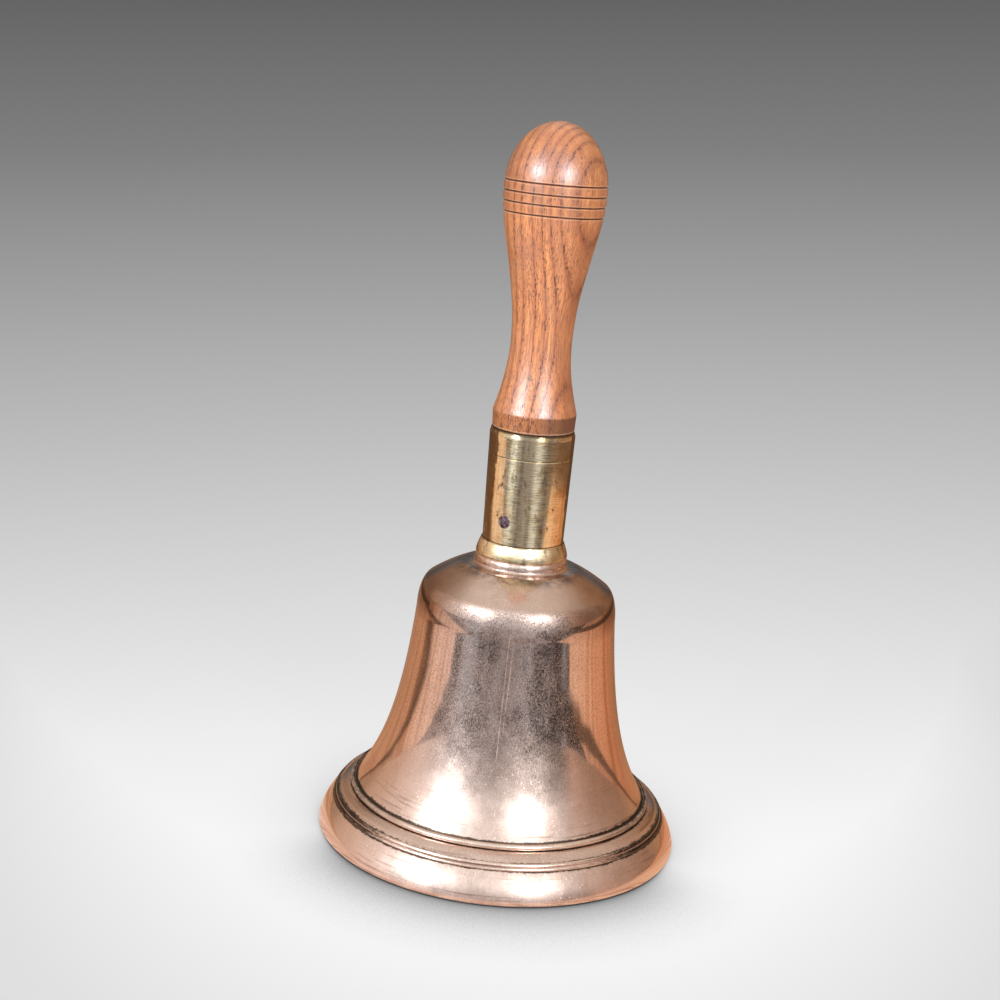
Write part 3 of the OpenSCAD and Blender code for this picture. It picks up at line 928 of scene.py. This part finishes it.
# %% Clapper ball
BALL_Z, BALL_R = 15.9, 12.5
TOP_FLAT_R, LOW_FLAT_R = 4.0, 4.2
ROD_HOLE_R = 2.72
top_cut = math.degrees(math.acos(TOP_FLAT_R / BALL_R))
low_cut = math.degrees(math.acos(LOW_FLAT_R / BALL_R))
round_side = arc((0, BALL_Z), BALL_R, BALL_R, -low_cut, top_cut, 90)
bore = [(ROD_HOLE_R, round_side[-1][1]), (ROD_HOLE_R, round_side[0][1])]
ball = turned("clapper_striker", np.concatenate([round_side, bore]), 128, "clapper", closed=True)
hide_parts("clapper_ball")

# %% [markdown]
# The cross pin was peened over, so its two ends are domed a little unevenly and sit just under
# the brass. Only the ends are built, because the rest of the pin is hidden in the handle.

# %% One end of the cross pin
FACE_R = 16.9
END_LONG = 4
RINGS, RING_POINTS = 10, 40


def pin_end(way):
    """One peened end of the cross pin: a low uneven dome just under the brass."""
    across = way.cross(UP)
    points = []
    for i in range(RINGS + 1):
        out = i / RINGS
        for k in range(RING_POINTS):
            turn = 2 * math.pi * k / RING_POINTS
            side, up = ((PIN_R - 0.03) * out * part for part in (math.cos(turn), math.sin(turn)))
            spot = Vector((side, up, way.y))
            dent = noise.noise(spot * 0.9) * 0.16 + noise.noise(spot * 2.4) * 0.06
            depth = math.sqrt(FACE_R**2 - side**2) - 0.12 - 0.25 * out**4 + dent * (1 - out**6)
            points.append((way * depth + across * side + UP * (PIN_Z + up)) * MM)
    points += [p - way * END_LONG * MM for p in points[-RING_POINTS:]]
    faces = []
    for start in range(0, (RINGS + 1) * RING_POINTS, RING_POINTS):
        for k in range(RING_POINTS):
            a, b = start + k, start + (k + 1) % RING_POINTS
            faces.append((a, b, b + RING_POINTS, a + RING_POINTS))
    faces.append(tuple(reversed(range(len(points) - RING_POINTS, len(points)))))
    return points, faces


print("points on one end:", len(pin_end(PIN_WAY)[0]))

# %% [markdown]
# Both ends go into one mesh, because they are the same pin.

# %% Cross pin
SHARP_PEENED = math.radians(50)
points, faces = [], []
for way in (PIN_WAY, -PIN_WAY):
    end_points, end_faces = pin_end(way)
    faces += [tuple(i + len(points) for i in f) for f in end_faces]
    points += end_points
pin_data = bpy.data.meshes.new("peened_cross_pin")
pin_data.from_pydata([tuple(p) for p in points], [], faces)
pin_shape = bmesh.new()
pin_shape.from_mesh(pin_data)
bmesh.ops.remove_doubles(pin_shape, verts=pin_shape.verts, dist=1e-7)
bmesh.ops.recalc_face_normals(pin_shape, faces=pin_shape.faces)
pin_shape.to_mesh(pin_data)
pin_data.shade_smooth()
pin_data.set_sharp_from_angle(angle=SHARP_PEENED)
cross_pin = put("peened_cross_pin", pin_data)
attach(cross_pin, "bell_and_handle")
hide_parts("ferrule_pin")
print("cross pin has", len(pin_data.polygons), "faces")

# %% [markdown]
# ## Finish: polished bell bronze
# Bell bronze is copper with about a fifth of tin, which makes it paler and pinker than brass.
# This casting was turned and polished long ago. It mirrors its surroundings, under a haze of
# fine scratches and specks, and brown tarnish keeps to the crown and the grooves.
# Tarnish, dirt and painted shade are gathered as coats. The last cell paints them over the metal
# in their order, so each can be changed by itself.

# %% Tarnish clouds, and painted shade at the crown's edges
bronze, add, place, (x, y, z) = new_finish("polished_bell_bronze")
relief_value = add("Attribute", attribute_name="relief").outputs["Fac"]
inner_value = add("Attribute", attribute_name="inner").outputs["Fac"]
sideways = add("Math ABSOLUTE", [x])
clouds = add("TexNoise", [place, per(26), 4, 0.6])
crown_part = add("MapRange SMOOTHSTEP", [z, 107.8, 110])
# Painted shade: the tarnish thickens towards the crown's left and right edges, as the camera sees them.
crown_edge_shade = add("MapRange SMOOTHSTEP", [sideways, 12, 34])
crown_edge_shade = faded(add, crown_edge_shade, z, 94, 102)
tarnish_and_edge_shade = add("MapRange", [crown_edge_shade, 0, 1, 0.25, 0.9])
tarnish_and_edge_shade = faded(add, tarnish_and_edge_shade, clouds, 0.42, 0.68)
coats = [(tarnish_and_edge_shade, "#BC9A86")]
print("coats on the bronze:", len(coats))

# %% [markdown]
# The crown has a brown-green patina and a dark bluish stain against the boss. Towards its left
# and right edges, as the camera sees them, it is darker and browner: painted shade for the dark
# reflections along its outline.

# %% Patina on the crown, and painted shade at its edges
spots = add("TexNoise", [place, per(7), 5, 0.65])
patina = faded(add, crown_part, spots, 0.35, 0.7, 0, 0.24)
# Painted shade: browner towards the crown's left and right edges.
painted_edge_shade = faded(add, crown_edge_shade, sideways, 33, 40, 0.4, 0.9)
by_boss = faded(add, add("MapRange SMOOTHSTEP", [z, 115, 117.6]), z, 118.8, 118)
stain = faded(add, by_boss, spots, 0.38, 0.62, 0, 0.75)
coats += [(patina, "#8F7558"), (painted_edge_shade, "#6E5340"), (stain, "#5C5254")]
print("coats on the bronze:", len(coats))

# %% [markdown]
# The mouldings keep greenish-black tarnish, nearly all of it at the sides, and their crests are
# rubbed bright in front. Relief tells hollows from crests, and grime makes their edges ragged.

# %% Dirt in the mouldings
grime = add("TexNoise", [add("VectorMath MULTIPLY", [place, (0.25, 0.25, 1)]), per(1.2), 4, 0.7])
flecks = add("TexNoise", [add("VectorMath MULTIPLY", [place, (0.5, 0.5, 1)]), per(0.7), 3, 0.7])
uneven = add("MapRange", [add("Math ADD", [grime, flecks]), 0.6, 1.4, -0.1, 0.1])
rough_relief = add("Math ADD", [relief_value, uneven])
wider = add("MapRange", [sideways, 10, 62, 0, 0.04])
rough_relief = add("Math SUBTRACT", [rough_relief, wider])
hollow_part = add("MapRange SMOOTHSTEP", [rough_relief, -0.065, -0.12, 0, 0.95])
dirty_side = add("Math ADD", [add("MapRange", [sideways, 30, 58, 0, 0.62]), flecks])
dirty_side = add("MapRange", [dirty_side, 0.74, 0.98])
crest_dirt = faded(add, dirty_side, relief_value, 0.03, 0.08)
hollow_part = add("Math MAXIMUM", [hollow_part, crest_dirt])
hollow_part = faded(add, faded(add, hollow_part, z, 22.2, 20.8), z, 11.2, 12.2)
rubbed_part = add("MapRange SMOOTHSTEP", [rough_relief, 0.12, 0.3, 0, 0.8])
coats += [(hollow_part, "#332C21"), (rubbed_part, "#F4E2D2")]
print("coats on the bronze:", len(coats))

# %% [markdown]
# Faint turning marks run round the low flare. Specks of tarnish too small to see one by one
# make the whole polish grainy. The inside was never polished, so it is dull and brown.

# %% Turning marks, grains and the dull inside
marks = add("TexNoise", [add("VectorMath MULTIPLY", [place, (0.03, 0.03, 1)]), per(0.9)])
marks = add("MapRange", [marks, 0.6, 0.68, 0, 0.45])
marks = faded(add, marks, z, 38, 26)
in_waist = add("MapRange", [z, 30, 60, 0.2])
in_waist = add("Math SUBTRACT", [in_waist, crown_part], use_clamp=True)
grains = add("TexNoise", [place, per(0.8), 3, 0.75])
grains = faded(add, in_waist, grains, 0.46, 0.62, 0, 0.42)
coats += [(marks, "#7A5A48"), (grains, "#8C7468"), (inner_value, "#7B5E48")]
print("coats on the bronze:", len(coats))

# %% [markdown]
# Hairline scratches run in a few directions across the front. Real ones are under 0.1 mm wide,
# which this picture can't show, so they are drawn about 0.3 mm wide: noise that is stretched
# along a scratch until only thin streaks are left. Dull specks, about 0.4 mm across, lie in
# clusters.

# %% Hairline scratches and specks
SCRATCH_WAYS = ((0.10, 0.02), (-0.28, 0.03))
lines = 0.0
for turn, stretch in SCRATCH_WAYS:
    drawn = add("Mapping", {"Vector": place, "Rotation": (0, turn, 0)})
    drawn = add("VectorMath MULTIPLY", [drawn, (1, 0.3, stretch)])
    streak = add("TexNoise", [drawn, per(0.5), 1])
    lines = add("Math MAXIMUM", [lines, add("MapRange", [streak, 0.66, 0.76, 0, 0.22])])
specks = add("TexVoronoi", [place, per(1.9)])
specks = add("Math LESS_THAN", [specks, add("MapRange", [clouds, 0.45, 0.7, 0.07, 0.2])])
lines = add("Math MAXIMUM", [lines, add("Math MULTIPLY", [specks, 0.8])])
print("directions of the hairlines:", [round(math.degrees(turn)) for turn, _ in SCRATCH_WAYS], "degrees")

# %% [markdown]
# Two long scratches run down the front from the shoulder, 1 mm to 2 mm apart. Each is a straight
# line with a start, a lean and two ends, in millimetres, and it is broken here and there.

# %% Two long scratches
LONG_SCRATCHES = ((-1.8, 0.016, 48, 100), (-0.2, 0.030, 58, 96))
LINE_MIDDLE = 75
in_front = add("Math LESS_THAN", [y, 0])
broken = faded(add, in_front, add("TexNoise", [place, per(4), 3]), 0.4, 0.55, 0.3, 0.9)
for start, lean, low_end, high_end in LONG_SCRATCHES:
    middle = add("Math MULTIPLY_ADD", [z, lean, start - lean * LINE_MIDDLE])
    off = add("Math ABSOLUTE", [add("Math SUBTRACT", [x, middle])])
    line = faded(add, broken, off, 0.28, 0.12)
    line = faded(add, line, z, low_end, low_end + 6)
    line = faded(add, line, z, high_end, high_end - 4)
    lines = add("Math MAXIMUM", [lines, line])
print("bronze nodes so far:", len(bronze.node_tree.nodes))

# %% [markdown]
# Old polish is never clear: a haze of fine scratches spreads part of the light. It is thickest
# low on the flare and on the crown, and thinnest at the right of the waist. Seen at a low angle,
# scratched metal mirrors more clearly.

# %% Haze
haze = add("MapRange", [add("TexNoise", [place, per(9), 6, 0.6]), 0.35, 0.65, 0.16, 0.46])
right_clear = faded(add, in_waist, x, 8, 20, 0, 0.16)
haze = add("Math SUBTRACT", [haze, right_clear])
brushed = add("TexNoise", [add("VectorMath MULTIPLY", [place, (1, 1, 0.6)]), per(0.4)])
brushed = add("MapRange", [brushed, 0.3, 0.7, -0.34, 0.34])
brushed = faded(add, brushed, z, 35, 60, 0.25)
low_haze = add("MapRange", [z, 30, 60, 0.27, 0])
crown_haze = add("MapRange", [z, 94, 104, 0, 0.2])
boss_haze = add("MapRange", [z, 118.5, 119.2, 0, 0.25])
for more in (low_haze, crown_haze, boss_haze, brushed):
    haze = add("Math ADD", [haze, more])
haze = add("Math ADD", [haze, lines], use_clamp=True)
glance = add("LayerWeight", [0.5]).outputs["Facing"]
glance = add("Math SUBTRACT", [glance, add("MapRange", [z, 35, 55, 0.16, 0])])
haze = faded(add, haze, glance, 0.16, 0.40, 1, 0.2)
print("bronze nodes so far:", len(bronze.node_tree.nodes))

# %% [markdown]
# The last cell joins it all. Hand polishing left slow waves and small pits, which are too fine
# for the mesh, so they are a bump. Two skins share the surface: clean polish, and the scratched
# metal that the haze shows.

# %% Skins of the bronze
WAVE_DEEP, PIT_DEEP = 0.10, 0.02
waves = add("Bump", {"Height": add("TexNoise", [place, per(16), 1]), "Distance": WAVE_DEEP * MM})
pits = add("MapRange", [add("TexVoronoi", [place, per(2.2)]), 0, 0.12])
pits = add("Bump", {"Height": pits, "Distance": PIT_DEEP * MM, "Normal": waves})
dull = add("Math MAXIMUM", [hollow_part, inner_value])
dull = add("Math MAXIMUM", [dull, add("Math MULTIPLY", [crown_part, 0.2])])
polish = add("MapRange", [dull, 0, 1, 0.07, 0.45])
metal = {"Base Color": painted(add, "#EAD3C5", coats), "Metallic": 1, "Normal": pits}
clean = add("BsdfPrincipled", {**metal, "Roughness": polish})
scratched = add("BsdfPrincipled", {**metal, "Roughness": 0.42})
add("OutputMaterial", [add("MixShader", [haze, clean, scratched])])
bell.data.materials.append(bronze)
print("bronze has", len(bronze.node_tree.nodes), "nodes")

# %% [markdown]
# ## Finish: turned yellow brass
# The ferrule is yellow brass, smoothed with emery while it turned. The scratches run round it,
# so each lamp is drawn out into an upright band. An anisotropic skin does that without drawing
# each line, and a few wider lines are drawn over it.

# %% Brass tone and tool lines
brass, add, place, (x, y, z) = new_finish("turned_yellow_brass")
relief_value = add("Attribute", attribute_name="relief").outputs["Fac"]
clouds = add("TexNoise", [place, per(7), 5, 0.62])
lines = add("TexNoise", [add("VectorMath MULTIPLY", [place, (0.08, 0.08, 1)]), per(0.35), 3, 0.6])
hollow_part = add("MapRange SMOOTHSTEP", [relief_value, -0.09, -0.2, 0, 0.85])
joint_part = add("MapRange", [z, 174.5, 175, 0, 0.85])
coats = [
    (add("MapRange", [clouds, 0.48, 0.68, 0, 0.8]), "#D6B880"),
    (add("MapRange", [lines, 0.42, 0.7, 0, 0.22]), "#A88C58"),
    (add("Math MAXIMUM", [hollow_part, joint_part]), "#5E4A2A"),
]
print("coats on the brass:", len(coats))

# %% [markdown]
# Brass darkens to brown and olive in patches. Towards the left and right edges, as the camera sees
# them, the patches thicken: partly tarnish, partly painted shade for dark reflections there.
# The foot band, low down, is rubbed when the crown is wiped.

# %% Tarnish patches on the brass, with painted shade at its edges
left_side = add("MapRange", [x, -13, -14])
right_side = add("MapRange", [x, 15.6, 16])
foot_part = add("MapRange", [z, 129, 128.2])
# The patches thicken at the left and right edges: partly tarnish, partly painted shade.
edge_tarnish_and_shade = add("Math MAXIMUM", [left_side, right_side])
edge_tarnish_and_shade = add("Math SUBTRACT", [edge_tarnish_and_shade, foot_part], use_clamp=True)
patch = add("TexNoise", [add("VectorMath MULTIPLY", [place, (1, 1, 0.5)]), per(3), 5, 0.7])
patch = add("Math MULTIPLY_ADD", [edge_tarnish_and_shade, 0.2, patch])
patch = add("MapRange", [patch, 0.57, 0.64])
coats.append((add("Math MULTIPLY", [patch, 0.85]), "#6E5634"))
print("coats on the brass:", len(coats))

# %% [markdown]
# As on the bell, a clean and a scratched skin share the surface. Both are brushed round the
# axis, and the foot band is brushed the other way.

# %% Skins of the brass
LINE_CUT = 0.008
haze = add("MapRange", [lines, 0.35, 0.65, 0.15, 0.7])
haze = add("Math MULTIPLY_ADD", [foot_part, 0.05, haze])
glance = add("LayerWeight", [0.5]).outputs["Facing"]
haze = faded(add, haze, glance, 0.17, 0.30, 1, 0.3)
polish = add("MapRange", [patch, 0, 1, 0.06, 0.35])
metal = {
    "Base Color": painted(add, "#FAEAC4", coats),
    "Metallic": 1,
    "Normal": add("Bump", {"Height": lines, "Distance": LINE_CUT * MM}),
    "Tangent": add("Tangent", direction_type="RADIAL", axis="Z"),
    "Anisotropic Rotation": add("MapRange", [foot_part, 0, 1, 0.25, 0]),
}
clean = add("BsdfPrincipled", {**metal, "Anisotropic": 0.6, "Roughness": polish})
scratched = add("BsdfPrincipled", {**metal, "Anisotropic": 0.8, "Roughness": 0.36})
add("OutputMaterial", [add("MixShader", [haze, clean, scratched])])
ferrule.data.materials.append(brass)
print("brass has", len(brass.node_tree.nodes), "nodes")

# %% [markdown]
# ## Finish: stained ash under worn varnish
# The handle shows a ring-porous wood such as ash: each year starts with a line of open pores,
# which take the stain and go almost black, and ends with dense, smooth orange wood. A tree's
# years are tubes round its heart, so the grain is made in 3-D: the heart of this tree lay 150 mm
# away, behind and to the left, and the yearly tubes cut the surface wherever they really would.
# That gives straight lines in front and arched flames on the right.

# %% Year rings
HEART = (-0.126, 0.081)
HEART_AWAY, REACH = 150, 24
BEND = 1.4 * MM
# Where each year starts, in mm from the handle's axis. A year grew by 3 mm to 5 mm.
RING_STARTS = [-22.5, -18.6, -14.4, -10.2, -5.2, -1.1, 4.1, 7.7, 10.6, 13.7, 17.8, 21.5]
SEASONS = [
    (0, "#B86A38"), (0.03, "#9C5228"), (0.09, "#CC7A40"),
    (0.5, "#EE9A5A"), (0.85, "#DA864A"), (1, "#B86A38"),
]
ash, add, place, (x, y, z) = new_finish("stained_ash_under_varnish")
bend = add("TexNoise", [place, per(60), 1]).outputs["Color"]
bend = add("VectorMath SUBTRACT", [bend, (0.5, 0.5, 0.5)])
grown = add("VectorMath MULTIPLY_ADD", [bend, (BEND, BEND, BEND), place])
grown = add("VectorMath MULTIPLY_ADD", [grown, (1, 1, 0), (-HEART[0], -HEART[1], 0)])
outward = add("VectorMath LENGTH", [grown])
outward = add("MapRange", [outward, (HEART_AWAY - REACH) * MM, (HEART_AWAY + REACH) * MM])
n = len(RING_STARTS)
year_curve = [((start + REACH) / (2 * REACH), (i + 0.5) / n) for i, start in enumerate(RING_STARTS)]
years = add("FloatCurve", {"Value": outward}, curve=[(0, 0)] + year_curve + [(1, 1)])
season = add("Math FRACT", [add("Math MULTIPLY_ADD", [years, n, 0.5])])
tone = add("ValToRGB", [season], stops=SEASONS)
print("year rings:", n)

# %% [markdown]
# Broad stripes and fine fibres run along the grain: noise drawn out along the handle. On the
# top of the knob the grain is cut across, so the fibres fade there. Hands have left uneven
# patches.

# %% Stripes, fibres and blotches
stripe = add("TexNoise", [add("VectorMath MULTIPLY", [place, (1, 1, 0.04)]), per(3.5)])
stripe = add("MapRange", [stripe, 0.42, 0.62, 0, 0.45])
fibre = add("TexNoise", [add("VectorMath MULTIPLY", [place, (1, 1, 0.06)]), per(0.5), 3])
upward = add("SeparateXYZ", [add("NewGeometry").outputs["Normal"]]).outputs["Z"]
fibre = add("MapRange", [fibre, 0.44, 0.64, 0, 0.62])
fibre = faded(add, fibre, upward, 0.25, 0.7, 1, 0.3)
blotch = add("TexNoise", [add("VectorMath MULTIPLY", [place, (1, 1, 0.5)]), per(9), 4, 0.6])
blotch = add("MapRange", [blotch, 0.45, 0.62, 0, 0.4])
coats = [(stripe, "#B0643A"), (fibre, "#7C3A1C"), (blotch, "#B4734F")]
print("coats on the wood:", len(coats))

# %% [markdown]
# Hands have left a purplish scuff on the front of the knob. The knob is a darker brown than the
# grip. The left of the knob and the right of the grip are darkened with painted shade, as if less
# light fell there.

# %% Marks of hands, and painted shade at the sides
SCUFF_SHIFT = (0.001, 0.016, -0.2865)
scuff = add("VectorMath MULTIPLY_ADD", [place, (1, 0.6, 1), SCUFF_SHIFT])
scuff = add("MapRange SMOOTHSTEP", [add("VectorMath LENGTH", [scuff]), 0.011, 0.004, 0, 0.55])
scuff = faded(add, scuff, add("TexNoise", [place, per(2.5), 5, 0.7]), 0.4, 0.6, 0.4)
knob_part = add("MapRange", [z, 262, 278, 0, 0.2])
# Painted shade: the knob's left and the grip's right are darkened as if less light fell there.
knob_left_shade = add("MapRange", [x, -13, -20, 0, 0.5])
knob_left_shade = faded(add, knob_left_shade, z, 262, 270)
grip_right_shade = add("MapRange", [x, 6, 13, 0, 0.35])
grip_right_shade = faded(add, grip_right_shade, z, 270, 255)
painted_side_shade = add("Math MAXIMUM", [knob_left_shade, grip_right_shade])
coats += [(scuff, "#8A5E58"), (knob_part, "#7A4030"), (painted_side_shade, "#8A4220")]
print("coats on the wood:", len(coats))

# %% [markdown]
# Pores are dark dashes along the grain, in rows where each year starts. A real pore is about
# 0.3 mm wide, which this picture can't show, so they are drawn about 0.4 mm wide. Each cell of
# a stretched Voronoi pattern holds one pore, and the season says how big it is.

# %% Pores
SPRING = [
    (0, "#C0C0C0"), (0.04, "#FFFFFF"), (0.12, "#FFFFFF"),
    (0.2, "#909090"), (0.9, "#707070"), (1, "#C0C0C0"),
]
pores = add("TexVoronoi", [add("VectorMath MULTIPLY", [place, (1, 1, 0.3)]), per(0.6)])
spring = add("ValToRGB", [season], stops=SPRING)
uneven = add("TexNoise", [add("VectorMath MULTIPLY", [place, (1, 1, 0.12)]), per(2.5)])
uneven = add("MapRange", [uneven, 0.3, 0.62, 0.45, 1.1])
pore_size = faded(add, uneven, spring, 0, 1, 0.17, 0.5)
base_band = add("MapRange", [z, 183, 182.2])
pore_size = add("Math MULTIPLY_ADD", [base_band, 0.2, pore_size])
pore_part = add("Math LESS_THAN", [pores, pore_size])
coats.append((add("Math MULTIPLY", [base_band, 0.7]), "#B06418"))
coats.append((add("Math MULTIPLY", [pore_part, 0.8]), "#4E2212"))
print("coats on the wood:", len(coats))

# %% [markdown]
# The base band is a deeper orange than the grip, and towards its right it is darkened with painted
# shade. Burnt dirt fills the cut lines, and a pale painted highlight runs along their edges.

# %% Base band and cut lines
relief_value = add("Attribute", attribute_name="relief").outputs["Fac"]
# Painted shade on the right of the base band, and a painted highlight on the edges of the cut lines.
band_right_shade = faded(add, base_band, x, -4, 14, 0.05, 0.85)
groove_edge_highlight = add("MapRange", [relief_value, 0.09, 0.14, 0, 0.4])
groove_part = add("MapRange SMOOTHSTEP", [relief_value, -0.04, -0.16])
groove_part = add("Math MAXIMUM", [groove_part, add("MapRange", [z, 176.3, 175.7, 0, 0.8])])
coats += [(band_right_shade, "#582F18"), (groove_edge_highlight, "#EDB78E"), (groove_part, "#2B1510")]
print("coats on the wood:", len(coats))

# %% [markdown]
# Worn varnish is a clear coat that has lost its gloss. It has sunk into the pores, so the bump
# of the grain goes through both the wood and the coat.

# %% Varnished skin
PORE_DEEP = 0.035
depth = add("Math SUBTRACT", [fibre, pore_part])
grain_bump = add("Bump", {"Height": depth, "Distance": PORE_DEEP * MM})
skin = add("BsdfPrincipled", {
    "Base Color": painted(add, tone, coats),
    "Roughness": 0.45,
    "Specular IOR Level": 0.9,
    "Coat Weight": 1.0,
    "Coat Roughness": 0.33,
    "Coat IOR": 1.6,
    "Normal": grain_bump,
    "Coat Normal": grain_bump,
})
add("OutputMaterial", [skin])
handle.data.materials.append(ash)
print("ash has", len(ash.node_tree.nodes), "nodes")

# %% [markdown]
# ## Finish: iron and leather
# Small iron pieces are dark oxide with some rust in it, rubbed bright where they work. The
# leather washer is oiled harness leather with a fine pebbled grain. All four are mottled in the
# same way, so one function makes them, and each says its shades and how big its mottle is.

# %% Dark iron, forged iron, cast iron and leather
MOTTLE_DEEP = 0.06


def mottled(name, shades, grain, roughness, metallic):
    """Mottled between its shades, with a fine scale texture."""
    made, add, place, _ = new_finish(name)
    mottle = add("TexNoise", [place, per(grain), 5, 0.65])
    scale = add("TexNoise", [place, per(grain / 3), 3])
    skin = add("BsdfPrincipled", {
        "Base Color": add("ValToRGB", [mottle], stops=shades),
        "Metallic": metallic,
        "Roughness": add("MapRange", [scale, 0.3, 0.7, roughness - 0.12, roughness + 0.12]),
        "Normal": add("Bump", {"Height": mottle, "Distance": MOTTLE_DEEP * MM}),
    })
    add("OutputMaterial", [skin])
    print(name, "has", len(made.node_tree.nodes), "nodes")
    return made


DARK_IRON = [(0.35, "#2E2329"), (0.47, "#5B4650"), (0.58, "#877078"), (0.7, "#C6BABE")]
BLACK_IRON = [(0.3, "#2B2725"), (0.55, "#4A423D"), (0.75, "#6B5545")]
CAST_IRON = [(0.3, "#3A3634"), (0.55, "#5C5652"), (0.75, "#6E5B4D")]
LEATHER = [(0.3, "#3A2416"), (0.55, "#5A3A24"), (0.75, "#6F4A30")]
pin_iron = mottled("peened_dark_iron", DARK_IRON, 1.4, 0.42, 0.7)
black_iron = mottled("forged_black_iron", BLACK_IRON, 4.0, 0.5, 0.8)
ball_iron = mottled("cast_iron_striker", CAST_IRON, 5.0, 0.45, 0.85)
leather = mottled("oiled_harness_leather", LEATHER, 2.0, 0.6, 0.0)

# %% [markdown]
# The nut and its washer are hidden inside the ferrule, so the CAD solids themselves stand in
# the scene, and get their finish there.

# %% Give the small pieces their finish
nut, nut_washer = (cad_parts[name] for name in ("crown_nut", "nut_washer"))
for solid in (nut, nut_washer):
    solid.data.materials.clear()
small_pieces = [
    (cross_pin, pin_iron), (hinge_pin, pin_iron), (hanger, black_iron), (shank, black_iron),
    (nut, black_iron), (nut_washer, black_iron), (ball, ball_iron), (washer, leather),
]
for piece, finish in small_pieces:
    piece.data.materials.append(finish)
    print(piece.name, "is", finish.name)
